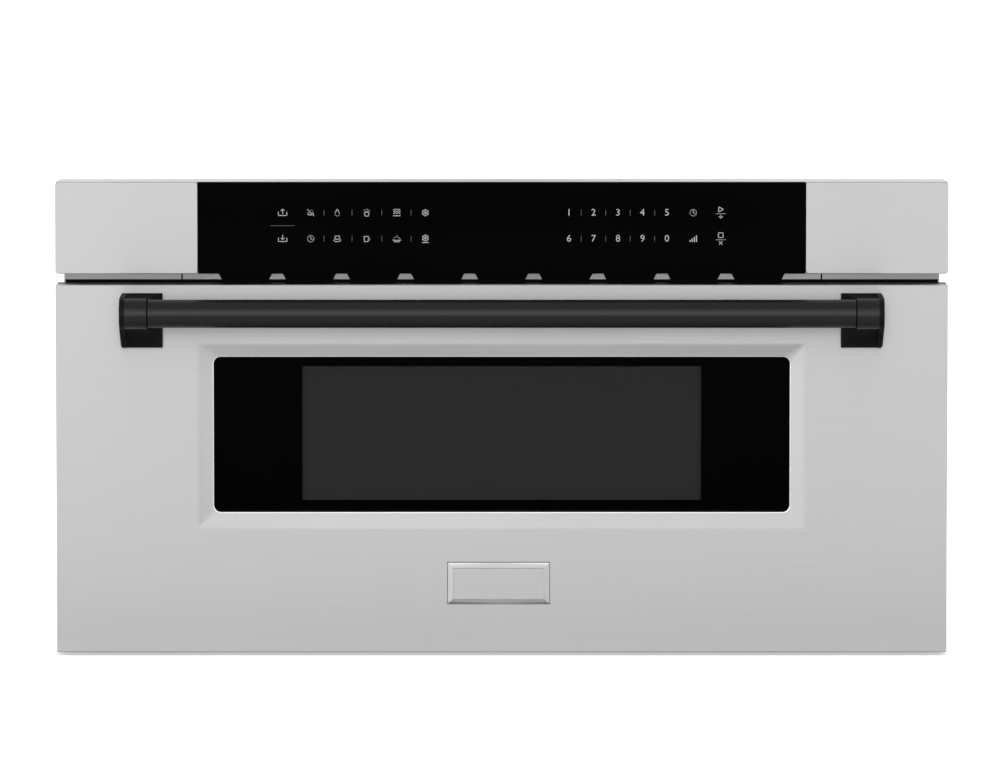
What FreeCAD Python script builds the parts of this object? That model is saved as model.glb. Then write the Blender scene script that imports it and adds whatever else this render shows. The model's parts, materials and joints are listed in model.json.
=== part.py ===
"""Built-in microwave drawer: chassis, sliding drawer, rack drive, slides and oven inner parts.

Millimetres. The origin is the centre of the base pan's underside. The front faces -Y, +Z is up.
"""

import FreeCAD, Part
import math
import os

V = FreeCAD.Vector
X_AXIS = V(1, 0, 0)
Y_AXIS = V(0, 1, 0)
Z_AXIS = V(0, 0, 1)

# ---- Driving dimensions --------------------------------------------------------------------------

# Front faces
face_width = 760.0
drawer_front_height = 315.2
panel_height = 78.4
panel_gap = 9.5
shelf_clearance = 3.0
front_thickness = 31.0
frame_gap = 1.5

# Cabinet body
body_width = 712.0
body_depth = 560.0
wrap_drop = 44.6
pan_sheet = 1.2
pan_flange = 22.0
wrap_sheet = 1.0
wrap_lift = 2.0
rear_sheet = 1.0
rear_return = 12.0
frame_sheet = 1.5
frame_width = 748.0
frame_bottom_z = 6.0
frame_top_margin = 7.0
pass_gap = 1.2
cable_half = 30.0
cable_low = 12.0
cable_height = 16.0

# Oven cavity
cavity_width = 460.0
cavity_height = 196.0
cavity_depth = 445.0
cavity_floor_z = 82.0
cavity_sheet = 1.0
cavity_flange = 18.0

# Drawer tub
tub_side_gap = 7.0
tub_floor_gap = 5.0
tub_back_gap = 16.0
tub_wall_height = 98.0
tub_sheet = 1.2
tub_draft = 4.0
tub_corner = 22.0
tub_rim = 4.0
tray_thickness = 5.0
tray_gap = 0.5

# Telescopic slides
slide_travel = 385.0
rail_height = 45.0
rail_depth = 12.2
rail_sheet = 1.5
rail_gap = 0.3
rail_lip = 3.0
rail_centre_z = 125.0
rail_outer_x = 275.7
rail_length = 430.0
rail_setback = 5.0
inner_rail_proud = 1.5
mount_sheet = 1.5
mount_leg = 34.0
mount_foot = 20.0
arm_sheet = 2.0
arm_height = 54.0
arm_rise = 13.0

# Rack drive
rack_module = 2.0
gear_teeth = 18
wheel_module = 1.5
wheel_teeth = 32
pinion_teeth = 14
pressure_angle = 20.0
wheel_addendum = 0.9
dedendum = 1.25
backlash = 0.2
rack_width = 8.0
rack_spine = 9.0
rack_end_margin = 6.0
gear_setback = 40.0
gear_face = 7.5
wheel_face = 7.0
wheel_offset = 4.5
shaft_radius = 4.0
running_gap = 0.05
hub_radius = 8.0
mesh_angle = -31.0
drive_plate = 2.0
motor_radius = 20.0
motor_length = 46.0
gearbox_length = 20.0
gearbox_chamfer = 4.0
can_step = 4.0
shaft_slack = 1.0
shaft_head = 1.5
bracket_margin = 8.0
bracket_foot = 26.0

# Window
glass_width = 491.4
glass_height = 133.2
glass_centre_z = 189.8
glass_corner = 6.0
glass_thickness = 4.0
glass_lap = 5.0
bevel_depth = 12.0
bevel_side = 12.7
bevel_top = 11.0
bevel_bottom = 12.7
bevel_corner = 1.5
skin_sheet = 1.2
skin_edge = 1.2
screen_width = 341.0
screen_height = 115.4
screen_border = 12.0
screen_sheet = 1.0
screen_step = 3.0
inner_pane_thickness = 3.0
panel_rim = 10.0

# Choke ring
choke_land = 18.0
choke_sheet = 1.2
choke_cover = 2.5

# Handle
tube_radius = 12.0
tube_wall = 1.5
tube_axis_z = 296.8
handle_reach = 48.0
bracket_outer_x = 324.3
bracket_width = 35.4
bracket_height = 46.3
bracket_centre_z = 288.1
bracket_base = 5.0
socket_radius = 13.0
socket_width = 23.0
socket_floor = 4.7
scoop_dip = 3.0
bracket_corner = 3.5
scoop_share = 0.32
scoop_rise = 0.76
flare_share = 0.7
flare_rise = 0.3
screw_pitch = 26.0
screw_head_radius = 4.5
screw_head = 2.6
screw_drop = 4.0

# Control panel
cap_width = 121.2
panel_glass = 4.0
glass_gap = 0.3
panel_sheet = 1.2
end_draft = 3.0
cap_edge = 2.0
board_thickness = 1.6
board_height = 56.0
board_width = 470.0
board_setback = 14.0
display_width = 120.0
display_height = 32.0
display_bezel = 3.0
post_half = 3.0
post_inset = 10.0
chip_height = 5.4
filter_front_y = -60.0
filter_length = 150.0
filter_low_z = 190.0
filter_height = 110.0
filter_stand = 8.0
relay_width = 18.0
relay_pitch = 30.0
relay_height = 30.0
relay_depth = 22.0
coil_radius = 15.0
coil_length = 20.0
glass_edge = 0.4
cap_wall = 3.0

# Vent strip
vent_count = 9
vent_pitch = 54.8
vent_web_top = 6.0
vent_web_bottom = 15.2
vent_height = 9.0
vent_sill = 1.2
strip_half_width = 272.9
strip_height = 18.0
strip_gap = 0.6
strip_return = 10.0
strip_margin = 4.0

# Microwave parts
guide_width = 90.0
guide_height = 34.0
guide_sheet = 1.2
guide_slope = 20.4
guide_lug = 14.0
stirrer_y = -20.0
stirrer_radius = 95.0
stirrer_sheet = 1.2
stirrer_shaft = 3.0
stirrer_hub = 9.0
stirrer_cover_size = 250.0
stirrer_cover_sheet = 2.0
stirrer_cover_depth = 14.0
stirrer_drop = 9.0
stirrer_hub_height = 6.0
stirrer_vanes = 3
vane_half = 20.0
vane_border = 11.0
vane_tip = 14.0
vane_lift = 2.0
stirrer_motor_radius = 24.0
stirrer_motor_height = 18.0
stirrer_ear = 8.0
stirrer_plate = 1.5
shaft_end_gap = 2.0
guide_hole = 10.0
magnetron_x = 290.0
magnetron_width = 92.0
magnetron_depth = 76.0
magnetron_height = 84.0
magnetron_filter = 26.0
magnetron_fins = 4
fin_sheet = 1.2
antenna_radius = 14.0
antenna_height = 20.0
antenna_gap = 2.0
yoke_sheet = 2.5
anode_radius = 19.0
fin_inset = 4.0
filter_inset = 8.0

# Cooling fan
fan_x = 290.0
fan_z = 222.0
fan_size = 120.0
fan_depth = 26.0
fan_bore = 54.0
fan_tip_gap = 2.0
fan_hub = 19.0
fan_blades = 5
fan_motor_radius = 21.0
fan_motor_length = 26.0
fan_shaft = 2.5
duct_sheet = 1.2
duct_throat = 4.0
fan_arms = 3
fan_arm = 3.0
fan_hub_length = 14.0
rotor_setback = 7.0
blade_sheet = 1.8
blade_pitch = 32.0
blade_half_chord = 17.0
blade_root = 2.0
stack_drop = 8.0
coil_reach = 5.0
coil_height = 12.0
coil_chamfer = 3.0

# High-voltage parts, lamp and cut-outs
transformer_x = -270.0
transformer_y = 212.0
transformer_foot = 3.0
core_width = 100.0
core_depth = 52.0
core_height = 84.0
core_leg = 17.0
winding_reach = 15.6
winding_chamfer = 6.0
capacitor_x = -150.0
capacitor_y = 232.0
capacitor_half = 14.0
capacitor_radius = 17.0
capacitor_height = 92.0
terminal_half = 2.5
terminal_height = 9.0
strap_reach = 12.0
strap_half = 9.0
strap_sheet = 1.5
lamp_x = -120.0
lamp_drop = 45.0
lamp_half = 13.0
lamp_length = 30.0
lamp_chamfer = 5.0
lamp_plate_half = 22.0
lamp_plate_rise = 18.0
lamp_plate = 2.0
cutout_radius = 9.0
cutout_height = 7.0
cutout_ear = 7.0
cutout_half = 4.0
cutout_sheet = 1.0
roof_cutout_x = -150.0
roof_cutout_y = 90.0
side_cutout_y = -120.0
side_cutout_drop = 40.0

# Rear cover vents and gland
slot_width = 5.0
slot_length = 116.0
slot_pitch = 11.0
gland_x = -300.0
gland_z = 326.0
gland_bore = 4.5
gland_body = 9.5
gland_hex = 13.0
gland_length = 22.0
gland_inside = 8.0
gland_nut = 5.0
gland_step = 2.0

# Interlock latch
latch_x = 300.0
latch_half = 4.0
latch_low_z = 244.0
latch_pitch = 34.0
latch_length = 34.0
latch_sheet = 1.2
latch_margin = 12.0
switch_wall = 3.0
switch_gap = 1.5
switch_margin = 16.0
switch_flange = 14.0
switch_reach = 26.0
switch_width = 10.0
switch_length = 16.0
switch_height = 20.0
button_size = 3.0
button_stroke = 2.0

# Fasteners
mount_hole_radius = 2.6
mount_hole_x = 730.0
mount_hole_z = 220.0
mount_hole_low_z = 70.0
base_screw_radius = 3.5
base_screw_head = 3.0
base_screw_inset = 18.0

# ---- Planes and places that follow from them -----------------------------------------------------

body_front_y = -body_depth / 2
body_back_y = body_depth / 2
frame_face_y = body_front_y - frame_sheet
drawer_back_y = frame_face_y - frame_gap
face_y = drawer_back_y - front_thickness
drawer_bottom_z = shelf_clearance
drawer_top_z = drawer_bottom_z + drawer_front_height
panel_bottom_z = drawer_top_z + panel_gap
panel_top_z = panel_bottom_z + panel_height
frame_top_z = panel_top_z - frame_top_margin
body_height = panel_top_z - wrap_drop
half_face = face_width / 2
half_body = body_width / 2
inner_half_body = half_body - wrap_sheet
inner_back_y = body_back_y - rear_sheet

cavity_half = cavity_width / 2
cavity_top_z = cavity_floor_z + cavity_height
cavity_back_y = body_front_y + cavity_depth
roof_z = cavity_top_z + cavity_sheet

tub_half = cavity_half - tub_side_gap
tub_bottom_z = cavity_floor_z + tub_floor_gap
tub_top_z = tub_bottom_z + tub_wall_height
tub_back_y = cavity_back_y - tub_back_gap

rail_front_y = body_front_y + rail_setback
rail_back_y = rail_front_y + rail_length
mid_height = rail_height - 2 * (rail_sheet + rail_gap)
mid_outer_x = rail_outer_x - rail_sheet - rail_gap
mid_depth = rail_depth - 2 * (rail_sheet + rail_gap)
inner_height = mid_height - 2 * (rail_lip + rail_gap)
inner_x = rail_outer_x - rail_depth - inner_rail_proud
inner_depth = mid_outer_x - rail_sheet - rail_gap - inner_x
arm_x = inner_x - arm_sheet
arm_top_z = rail_centre_z + arm_rise
arm_bottom_z = arm_top_z - arm_height

gear_radius = rack_module * gear_teeth / 2
wheel_radius = wheel_module * wheel_teeth / 2
pinion_radius = wheel_module * pinion_teeth / 2
rack_x = arm_x - rack_width
rack_pitch = math.pi * rack_module
rack_pitch_z = arm_bottom_z + rack_module
gear_y = body_front_y + gear_setback
gear_z = rack_pitch_z - gear_radius
gear_x = arm_x - rail_gap - gear_face
wheel_x = gear_x + gear_face + wheel_offset
centre_distance = wheel_radius + pinion_radius
pinion_y = gear_y + centre_distance * math.cos(math.radians(mesh_angle))
pinion_z = gear_z + centre_distance * math.sin(math.radians(mesh_angle))
plate_x = wheel_x + wheel_face + 2 * rail_gap

skin_inner_y = face_y + skin_sheet
glass_front_y = face_y + bevel_depth
glass_half = glass_width / 2
half_glass_height = glass_height / 2
bevel_low_z = glass_centre_z - half_glass_height - bevel_bottom
bevel_high_z = glass_centre_z + half_glass_height + bevel_top
bevel_half = glass_half + bevel_side
screen_y = glass_front_y + glass_thickness

choke_outer = cavity_half + choke_land
choke_front_y = screen_y + screen_sheet + screen_step
choke_low_z = cavity_floor_z - choke_land
choke_high_z = cavity_top_z + choke_land
panel_back_y = drawer_back_y - choke_cover

tube_y = face_y - handle_reach + tube_radius
bracket_inner_x = bracket_outer_x - bracket_width
socket_mouth_x = bracket_outer_x - socket_width

cap_inner_x = half_face - cap_width
shell_front_y = face_y + panel_glass
strip_z = drawer_top_z + vent_sill - strip_margin
magnetron_top_z = roof_z
magnetron_bottom_z = magnetron_top_z - magnetron_height - magnetron_filter


# ---- Shape helpers -------------------------------------------------------------------------------

def block(x0, x1, y0, y1, z0, z1):
    """Box between two corners."""
    return Part.makeBox(x1 - x0, y1 - y0, z1 - z0, V(x0, y0, z0))


def cylinder(radius, length, start, axis):
    """Solid cylinder from a start point along an axis."""
    return Part.makeCylinder(radius, length, start, axis)


def ring(outer, inner, length, start, axis):
    """Tube from a start point along an axis."""
    return cylinder(outer, length, start, axis).cut(cylinder(inner, length, start, axis))


def prism(points, direction):
    """Closed polygon of vectors, extruded."""
    return Part.Face(Part.makePolygon(points + [points[0]])).extrude(direction)


def round_rect(x0, x1, z0, z1, radius, y):
    """Wire of a rounded rectangle that faces the front."""
    corners = [(x1 - radius, z1 - radius, 0), (x0 + radius, z1 - radius, 90),
               (x0 + radius, z0 + radius, 180), (x1 - radius, z0 + radius, 270)]
    arcs = []
    for cx, cz, start in corners:
        arc_points = [corner_point(cx, cz, radius, start + step, y) for step in (0, 45, 90)]
        arcs.append(Part.Arc(*arc_points).toShape())
    edges = []
    for index, arc in enumerate(arcs):
        edges.append(arc)
        following = arcs[(index + 1) % len(arcs)]
        edges.append(Part.makeLine(arc.Vertexes[-1].Point, following.Vertexes[0].Point))
    return Part.Wire(edges)


def corner_point(cx, cz, radius, degrees, y):
    """Point of a rounded corner."""
    angle = math.radians(degrees)
    return V(cx + radius * math.cos(angle), y, cz + radius * math.sin(angle))


def slab(wire, direction):
    """Plate with a wire's outline."""
    return Part.Face(wire).extrude(direction)


def mirrored(shape):
    """Left-hand twin of a right-hand piece."""
    return shape.mirror(V(0, 0, 0), X_AXIS)


def fused(shapes):
    """One solid from touching solids."""
    return shapes[0].multiFuse(shapes[1:]).removeSplitter()


def many_sided(sides, radius, length, start, axis):
    """Bar with a regular section from a start point along an axis."""
    corners = []
    for step in range(sides):
        angle = 2 * math.pi * step / sides
        across = radius * math.cos(angle)
        along = radius * math.sin(angle)
        if axis is X_AXIS:
            corners.append(start + V(0, across, along))
        elif axis is Y_AXIS:
            corners.append(start + V(across, 0, along))
        else:
            corners.append(start + V(across, along, 0))
    return prism(corners, axis * length)


def hex_bar(radius, length, start, axis):
    """Six-sided bar, as of a screw head or a nut."""
    return many_sided(6, radius, length, start, axis)


# ---- Chassis -------------------------------------------------------------------------------------

def swage_profile(centre_x, z, height, half_base, half_top):
    """Trapezoid across a pressed rib."""
    return [V(centre_x - half_base, 0, z), V(centre_x + half_base, 0, z),
            V(centre_x + half_top, 0, z + height), V(centre_x - half_top, 0, z + height)]


def swage_bar(centre_x, y0, y1, z, height, half_base, half_top):
    """Rib-shaped bar along the depth of a sheet."""
    bar = prism(swage_profile(centre_x, z, height, half_base, half_top), V(0, y1 - y0, 0))
    bar.translate(V(0, y0, 0))
    return bar


def make_base_pan():
    """Tray of the chassis, with pressed ribs under the oven."""
    swage_height = 5.0
    swage_half = 14.0
    swage_crown = 8.0
    swage_pitch = 100.0
    swage_front = body_front_y + 60.0
    swage_back = cavity_back_y - 40.0
    pan = block(-inner_half_body, inner_half_body, body_front_y, inner_back_y, 0, pan_flange)
    pan = pan.cut(block(-inner_half_body + pan_sheet, inner_half_body - pan_sheet,
                        body_front_y + pan_sheet, inner_back_y - pan_sheet, pan_sheet, pan_flange))
    for step in (-1.5, -0.5, 0.5, 1.5):
        centre = step * swage_pitch
        pan = pan.fuse(swage_bar(centre, swage_front, swage_back, 0, swage_height,
                                 swage_half, swage_crown))
        pan = pan.cut(swage_bar(centre, swage_front + pan_sheet, swage_back - pan_sheet, 0,
                                swage_height - pan_sheet, swage_half - pan_sheet,
                                swage_crown - pan_sheet))
    return pan.removeSplitter()


def make_cabinet_wrap():
    """Top and both sides, folded from one sheet, with side louvres near the back."""
    louvre_count = 6
    louvre_height = 60.0
    louvre_low_z = 200.0
    louvre_back_y = body_back_y - 40.0
    wrap = block(-half_body, half_body, body_front_y, body_back_y, wrap_lift, body_height)
    wrap = wrap.cut(block(-inner_half_body, inner_half_body, body_front_y, body_back_y,
                          wrap_lift, body_height - wrap_sheet))
    cuts = []
    for index in range(louvre_count):
        y = louvre_back_y - index * slot_pitch
        cuts.append(block(-half_body, half_body, y - slot_width, y,
                          louvre_low_z, louvre_low_z + louvre_height))
    for side in (-1, 1):
        groove_x = side * body_width / 4
        cuts.append(top_groove(groove_x, 0))
        wrap = wrap.fuse(top_groove(groove_x, wrap_sheet))
    return wrap.cut(Part.makeCompound(cuts)).removeSplitter()


def top_groove(centre_x, drop):
    """Shallow stiffening groove of the cabinet top, or its underside when dropped."""
    groove_depth = 3.0
    groove_half = 16.0
    groove_floor = 11.0
    groove_inset = 70.0
    top = body_height - drop / 2
    low = body_height - groove_depth - drop
    half_wide = groove_half + drop
    half_low = groove_floor + drop
    points = [V(centre_x - half_wide, 0, top), V(centre_x + half_wide, 0, top),
              V(centre_x + half_low, 0, low), V(centre_x - half_low, 0, low)]
    length = body_depth - 2 * groove_inset + 2 * drop
    bar = prism(points, V(0, length, 0))
    bar.translate(V(0, body_front_y + groove_inset - drop, 0))
    return bar


def make_rear_cover():
    """Rear sheet with a fan grille, exhaust slots, a folded edge and the gland's hole."""
    slot_rows = 12
    exhaust_x = -170.0
    exhaust_low_z = 60.0
    low_z = pan_sheet
    high_z = body_height - wrap_sheet
    tray = block(-inner_half_body, inner_half_body, inner_back_y - rear_return, body_back_y,
                 pan_flange, high_z)
    tray = tray.cut(block(-inner_half_body + rear_sheet, inner_half_body - rear_sheet,
                          inner_back_y - rear_return, inner_back_y, pan_flange, high_z - rear_sheet))
    skirt = block(-inner_half_body, inner_half_body, inner_back_y, body_back_y, low_z, pan_flange)
    cover = tray.fuse(skirt)
    cuts = [cylinder(gland_body, 2 * rear_sheet, V(gland_x, inner_back_y - rear_sheet / 2, gland_z),
                     Y_AXIS)]
    for row in range(slot_rows):
        z = exhaust_low_z + row * slot_pitch
        cuts.append(block(exhaust_x, exhaust_x + slot_length, inner_back_y, body_back_y,
                          z, z + slot_width))
    cuts += fan_grille()
    return cover.cut(Part.makeCompound(cuts)).removeSplitter()


def fan_grille():
    """Slots of the fan grille, each as long as the fan's bore allows there."""
    rows = 9
    margin = 4.0
    limit = fan_bore - margin
    slots = []
    for index in range(rows):
        offset = (index - (rows - 1) / 2) * slot_pitch
        half = math.sqrt(max(limit ** 2 - (abs(offset) + slot_width / 2) ** 2, slot_width ** 2))
        z = fan_z + offset - slot_width / 2
        slots.append(block(fan_x - half, fan_x + half, inner_back_y, body_back_y, z, z + slot_width))
    return slots


def rail_slot():
    """Opening in the front frame that a rail, its arm and the rack run through."""
    return block(rack_x - pass_gap, mid_outer_x + pass_gap, frame_face_y, body_front_y,
                 arm_bottom_z - pass_gap, rail_centre_z + mid_height / 2 + pass_gap)


def make_front_frame():
    """Flanged front sheet: oven mouth, rail slots, vent window, latch slots and screw holes."""
    half = frame_width / 2
    frame = block(-half, half, frame_face_y, body_front_y, frame_bottom_z, frame_top_z)
    cuts = [block(-cavity_half, cavity_half, frame_face_y, body_front_y, cavity_floor_z, cavity_top_z)]
    slot = rail_slot()
    cuts += [slot, mirrored(slot)]
    cuts.append(block(-strip_half_width - strip_gap, strip_half_width + strip_gap,
                      frame_face_y, body_front_y, strip_z, strip_z + strip_height))
    reach = latch_half + pass_gap
    for prong_z in latch_heights():
        cuts.append(block(-latch_x - reach, -latch_x + reach, frame_face_y, body_front_y,
                          prong_z - reach, prong_z + reach))
    for x in (-mount_hole_x / 2, mount_hole_x / 2):
        for z in (mount_hole_low_z, mount_hole_low_z + mount_hole_z):
            cuts.append(cylinder(mount_hole_radius, frame_sheet, V(x, frame_face_y, z), Y_AXIS))
    cuts.append(cable_slot(frame_face_y, body_front_y))
    return frame.cut(Part.makeCompound(cuts))


def cable_slot(y0, y1):
    """Opening that the panel's wires run through."""
    low = panel_bottom_z + cable_low
    return block(-cable_half, cable_half, y0, y1, low, low + cable_height)


def make_vent_strip():
    """Strip of the air outlet: nine openings that narrow downwards, and folded edges."""
    z0 = strip_z
    z1 = strip_z + strip_height
    strip = block(-strip_half_width, strip_half_width, frame_face_y, body_front_y, z0, z1)
    for z in (z0, z1 - frame_sheet):
        strip = strip.fuse(block(-strip_half_width, strip_half_width, body_front_y,
                                 body_front_y + strip_return, z, z + frame_sheet))
    low_z = drawer_top_z + vent_sill
    half_top = (vent_pitch - vent_web_top) / 2
    half_low = (vent_pitch - vent_web_bottom) / 2
    vents = []
    for index in range(vent_count):
        x = (index - (vent_count - 1) / 2) * vent_pitch
        shape = [V(x - half_low, frame_face_y, low_z), V(x + half_low, frame_face_y, low_z),
                 V(x + half_top, frame_face_y, low_z + vent_height),
                 V(x - half_top, frame_face_y, low_z + vent_height)]
        vents.append(prism(shape, V(0, frame_sheet, 0)))
    return strip.cut(Part.makeCompound(vents)).removeSplitter()


def make_cavity_liner():
    """Welded oven box with a front flange and holes for the stirrer shaft and the lamp."""
    sheet = cavity_sheet
    box = block(-cavity_half - sheet, cavity_half + sheet, body_front_y, cavity_back_y + sheet,
                cavity_floor_z - sheet, roof_z)
    flange = block(-cavity_half - cavity_flange, cavity_half + cavity_flange, body_front_y,
                   body_front_y + sheet, cavity_floor_z - cavity_flange, cavity_top_z + cavity_flange)
    mouth = block(-cavity_half, cavity_half, body_front_y, cavity_back_y, cavity_floor_z, cavity_top_z)
    hole = cylinder(guide_hole, sheet, V(0, stirrer_y, cavity_top_z), Z_AXIS)
    return box.fuse(flange).cut(mouth).cut(hole).removeSplitter()


# ---- Telescopic slides ---------------------------------------------------------------------------

def channel(web_x, inward, height, depth, lip, y0, y1):
    """Rolled channel along the depth, with its web at web_x and lips at its open side."""
    half = height / 2
    t = rail_sheet
    z = rail_centre_z
    back = web_x
    front = web_x + inward * depth
    web = web_x + inward * t
    mouth = front - inward * t
    if lip:
        points = [(back, half), (front, half), (front, half - lip), (mouth, half - lip),
                  (mouth, half - t), (web, half - t), (web, t - half), (mouth, t - half),
                  (mouth, lip - half), (front, lip - half), (front, -half), (back, -half)]
    else:
        points = [(back, half), (front, half), (front, half - t), (web, half - t),
                  (web, t - half), (front, t - half), (front, -half), (back, -half)]
    return prism([V(x, y0, z + dz) for x, dz in points], V(0, y1 - y0, 0))


def make_outer_rail():
    """Fixed member of the right slide."""
    return channel(rail_outer_x, -1, rail_height, rail_depth, rail_lip, rail_front_y, rail_back_y)


def make_mid_rail():
    """Middle member of the right slide."""
    return channel(mid_outer_x, -1, mid_height, mid_depth, rail_lip, rail_front_y, rail_back_y)


def make_inner_rail():
    """Drawer member of the right slide."""
    return channel(inner_x, 1, inner_height, inner_depth, 0, rail_front_y, rail_back_y)


def make_rail_mount():
    """Bracket that holds the right outer rail off the base pan, on three legs with feet."""
    top = rail_centre_z + rail_height / 2
    band_low = rail_centre_z - rail_height / 2
    x0 = rail_outer_x
    x1 = x0 + mount_sheet
    parts = [block(x0, x1, rail_front_y, rail_back_y, band_low, top)]
    parts.append(block(x0, x0 + mount_foot / 2, rail_front_y, rail_back_y, top, top + mount_sheet))
    for y in mount_legs():
        parts.append(block(x0, x1, y, y + mount_leg, pan_sheet, band_low))
        parts.append(block(x0, x0 + mount_foot, y, y + mount_leg, pan_sheet, pan_sheet + mount_sheet))
    return fused(parts)


def mount_legs():
    """Front edge of each leg of a rail mount."""
    first = gear_y + centre_distance + motor_radius + mount_foot / 2
    last = rail_back_y - mount_leg
    return (first, (first + last) / 2, last)


def make_rail_arm():
    """Plate that joins the right inner rail to the drawer's back, with a folded front flange."""
    plate = block(arm_x, inner_x, drawer_back_y, rail_back_y, arm_bottom_z, arm_top_z)
    flange = block(arm_x, mid_outer_x, drawer_back_y, drawer_back_y + arm_sheet,
                   arm_bottom_z, arm_top_z)
    return plate.fuse(flange).removeSplitter()


# ---- Rack drive ----------------------------------------------------------------------------------

def involute(base, radius):
    """Involute function of the pressure angle at a radius."""
    alpha = math.acos(min(1.0, base / radius))
    return math.tan(alpha) - alpha


def gear_outline(module, teeth, addendum, phase, x):
    """Face of a spur gear across x: flanks through points of the involute, one tooth at phase."""
    pitch = module * teeth / 2
    base = pitch * math.cos(math.radians(pressure_angle))
    tip = pitch + addendum * module
    root = pitch - dedendum * module
    half_tooth = math.pi / (2 * teeth) - backlash / (2 * pitch)
    half_angles = [half_tooth + involute(base, pitch) - involute(base, max(radius, base))
                   for radius in (root, pitch, tip)]
    points = []
    for tooth in range(teeth):
        centre = phase + 2 * math.pi * tooth / teeth
        for side in (-1, 1):
            flank = [(radius, centre + side * half)
                     for radius, half in zip((root, pitch, tip), half_angles)]
            for radius, angle in flank[::-side]:
                points.append(V(x, radius * math.cos(angle), radius * math.sin(angle)))
    return Part.Face(Part.makePolygon(points + [points[0]]))


def make_drive_gear():
    """Compound gear: the small gear drives the rack and the wheel is driven by the motor."""
    tooth_up = math.pi / 2 + math.pi / gear_teeth
    gear = gear_outline(rack_module, gear_teeth, 1.0, tooth_up, 0).extrude(V(gear_face, 0, 0))
    phase = math.radians(mesh_angle)
    wheel = gear_outline(wheel_module, wheel_teeth, wheel_addendum, phase, gear_face + wheel_offset)
    wheel = wheel.extrude(V(wheel_face, 0, 0))
    hub = many_sided(12, hub_radius, wheel_offset, V(gear_face, 0, 0), X_AXIS)
    body = gear.fuse(hub).fuse(wheel)
    length = gear_face + wheel_offset + wheel_face
    body = body.cut(cylinder(shaft_radius + running_gap, length, V(0, 0, 0), X_AXIS))
    body.translate(V(gear_x, gear_y, gear_z))
    return body


def make_motor_pinion():
    """Pinion on the motor's output shaft."""
    space = math.radians(mesh_angle) + math.pi + math.pi / pinion_teeth
    teeth = gear_outline(wheel_module, pinion_teeth, wheel_addendum, space, 0)
    pinion = teeth.extrude(V(wheel_face, 0, 0))
    reach = plate_x + drive_plate + gearbox_length - shaft_end_gap - wheel_x - wheel_face
    stub = cylinder(shaft_radius, reach, V(wheel_face, 0, 0), X_AXIS)
    pinion = pinion.fuse(stub)
    pinion.translate(V(wheel_x, pinion_y, pinion_z))
    return pinion


def make_rack():
    """Toothed rack on the inner face of the right rail arm, its teeth pointing down."""
    front = drawer_back_y + arm_sheet
    count = int((slide_travel + gear_setback + rack_end_margin) / rack_pitch)
    tooth_half = rack_pitch / 4 - backlash / 4
    slope = math.tan(math.radians(pressure_angle))
    tip_half = tooth_half - rack_module * slope
    root_half = tooth_half + dedendum * rack_module * slope
    tip_z = rack_pitch_z - rack_module
    root_z = rack_pitch_z + dedendum * rack_module
    ahead = int((gear_y - front) / rack_pitch)
    first = gear_y - ahead * rack_pitch + rack_pitch / 2
    back = first + count * rack_pitch
    points = [V(rack_x, front, root_z)]
    for index in range(count):
        y = first + (index - 0.5) * rack_pitch
        points += [V(rack_x, y - root_half, root_z), V(rack_x, y - tip_half, tip_z),
                   V(rack_x, y + tip_half, tip_z), V(rack_x, y + root_half, root_z)]
    points += [V(rack_x, back, root_z), V(rack_x, back, root_z + rack_spine),
               V(rack_x, front, root_z + rack_spine)]
    return prism(points, V(rack_width, 0, 0))


def make_gear_shaft():
    """Fixed shaft of the compound gear, riveted in the drive bracket."""
    start = gear_x - shaft_head
    return cylinder(shaft_radius, plate_x + drive_plate - start, V(start, gear_y, gear_z), X_AXIS)


def make_drive_bracket():
    """Plate on the base pan that carries the gear shaft and the motor."""
    top_z = gear_z + shaft_radius + bracket_margin
    y0 = gear_y - bracket_margin - shaft_radius
    y1 = pinion_y + motor_radius + bracket_margin
    x1 = plate_x + drive_plate
    outline = [V(plate_x, y0, pan_sheet), V(plate_x, y1, pan_sheet),
               V(plate_x, y1, pinion_z + motor_radius / 2),
               V(plate_x, gear_y + 2 * bracket_margin, top_z), V(plate_x, y0, top_z)]
    bracket = prism(outline, V(drive_plate, 0, 0))
    bracket = bracket.fuse(block(x1, x1 + bracket_foot, y0, y1, pan_sheet, pan_sheet + drive_plate))
    seat = cylinder(shaft_radius, drive_plate, V(plate_x, gear_y, gear_z), X_AXIS)
    slack = shaft_radius + shaft_slack
    passage = block(plate_x, x1, pinion_y - slack, pinion_y + slack, pinion_z - slack,
                    pinion_z + slack)
    return bracket.cut(seat).cut(passage).removeSplitter()


def make_drive_motor():
    """Gearmotor: square gearbox on the bracket, motor can and the bore of its output shaft."""
    start = plate_x + drive_plate
    half = motor_radius
    foot_z = pan_sheet + drive_plate
    gearbox = block(start, start + gearbox_length, pinion_y - half, pinion_y + half, foot_z,
                    pinion_z + half)
    gearbox = gearbox.makeChamfer(gearbox_chamfer, [e for e in gearbox.Edges if along_x(e)])
    can = many_sided(24, motor_radius - can_step, motor_length - gearbox_length,
                     V(start + gearbox_length, pinion_y, pinion_z), X_AXIS)
    bore = cylinder(shaft_radius + running_gap, gearbox_length, V(start, pinion_y, pinion_z), X_AXIS)
    return gearbox.fuse(can).cut(bore)


def along_x(edge):
    """True for a straight edge along X."""
    a, b = edge.Vertexes[0].Point, edge.Vertexes[-1].Point
    return abs(a.y - b.y) < 1e-6 and abs(a.z - b.z) < 1e-6


# ---- Oven inner parts ----------------------------------------------------------------------------

def guide_solid(wall):
    """Solid of the launch duct with sloped top corners, drawn in by a wall."""
    left = -guide_width + wall
    right = magnetron_x + magnetron_width / 2 - wall
    y0 = stirrer_y - guide_width / 2 + wall
    low = roof_z + wall
    high = roof_z + guide_height - wall
    slope = guide_slope - wall
    outline = [V(left, y0, low), V(right, y0, low), V(right, y0, high - slope),
               V(right - slope, y0, high), V(left + slope, y0, high), V(left, y0, high - slope)]
    return prism(outline, V(0, guide_width - 2 * wall, 0))


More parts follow.
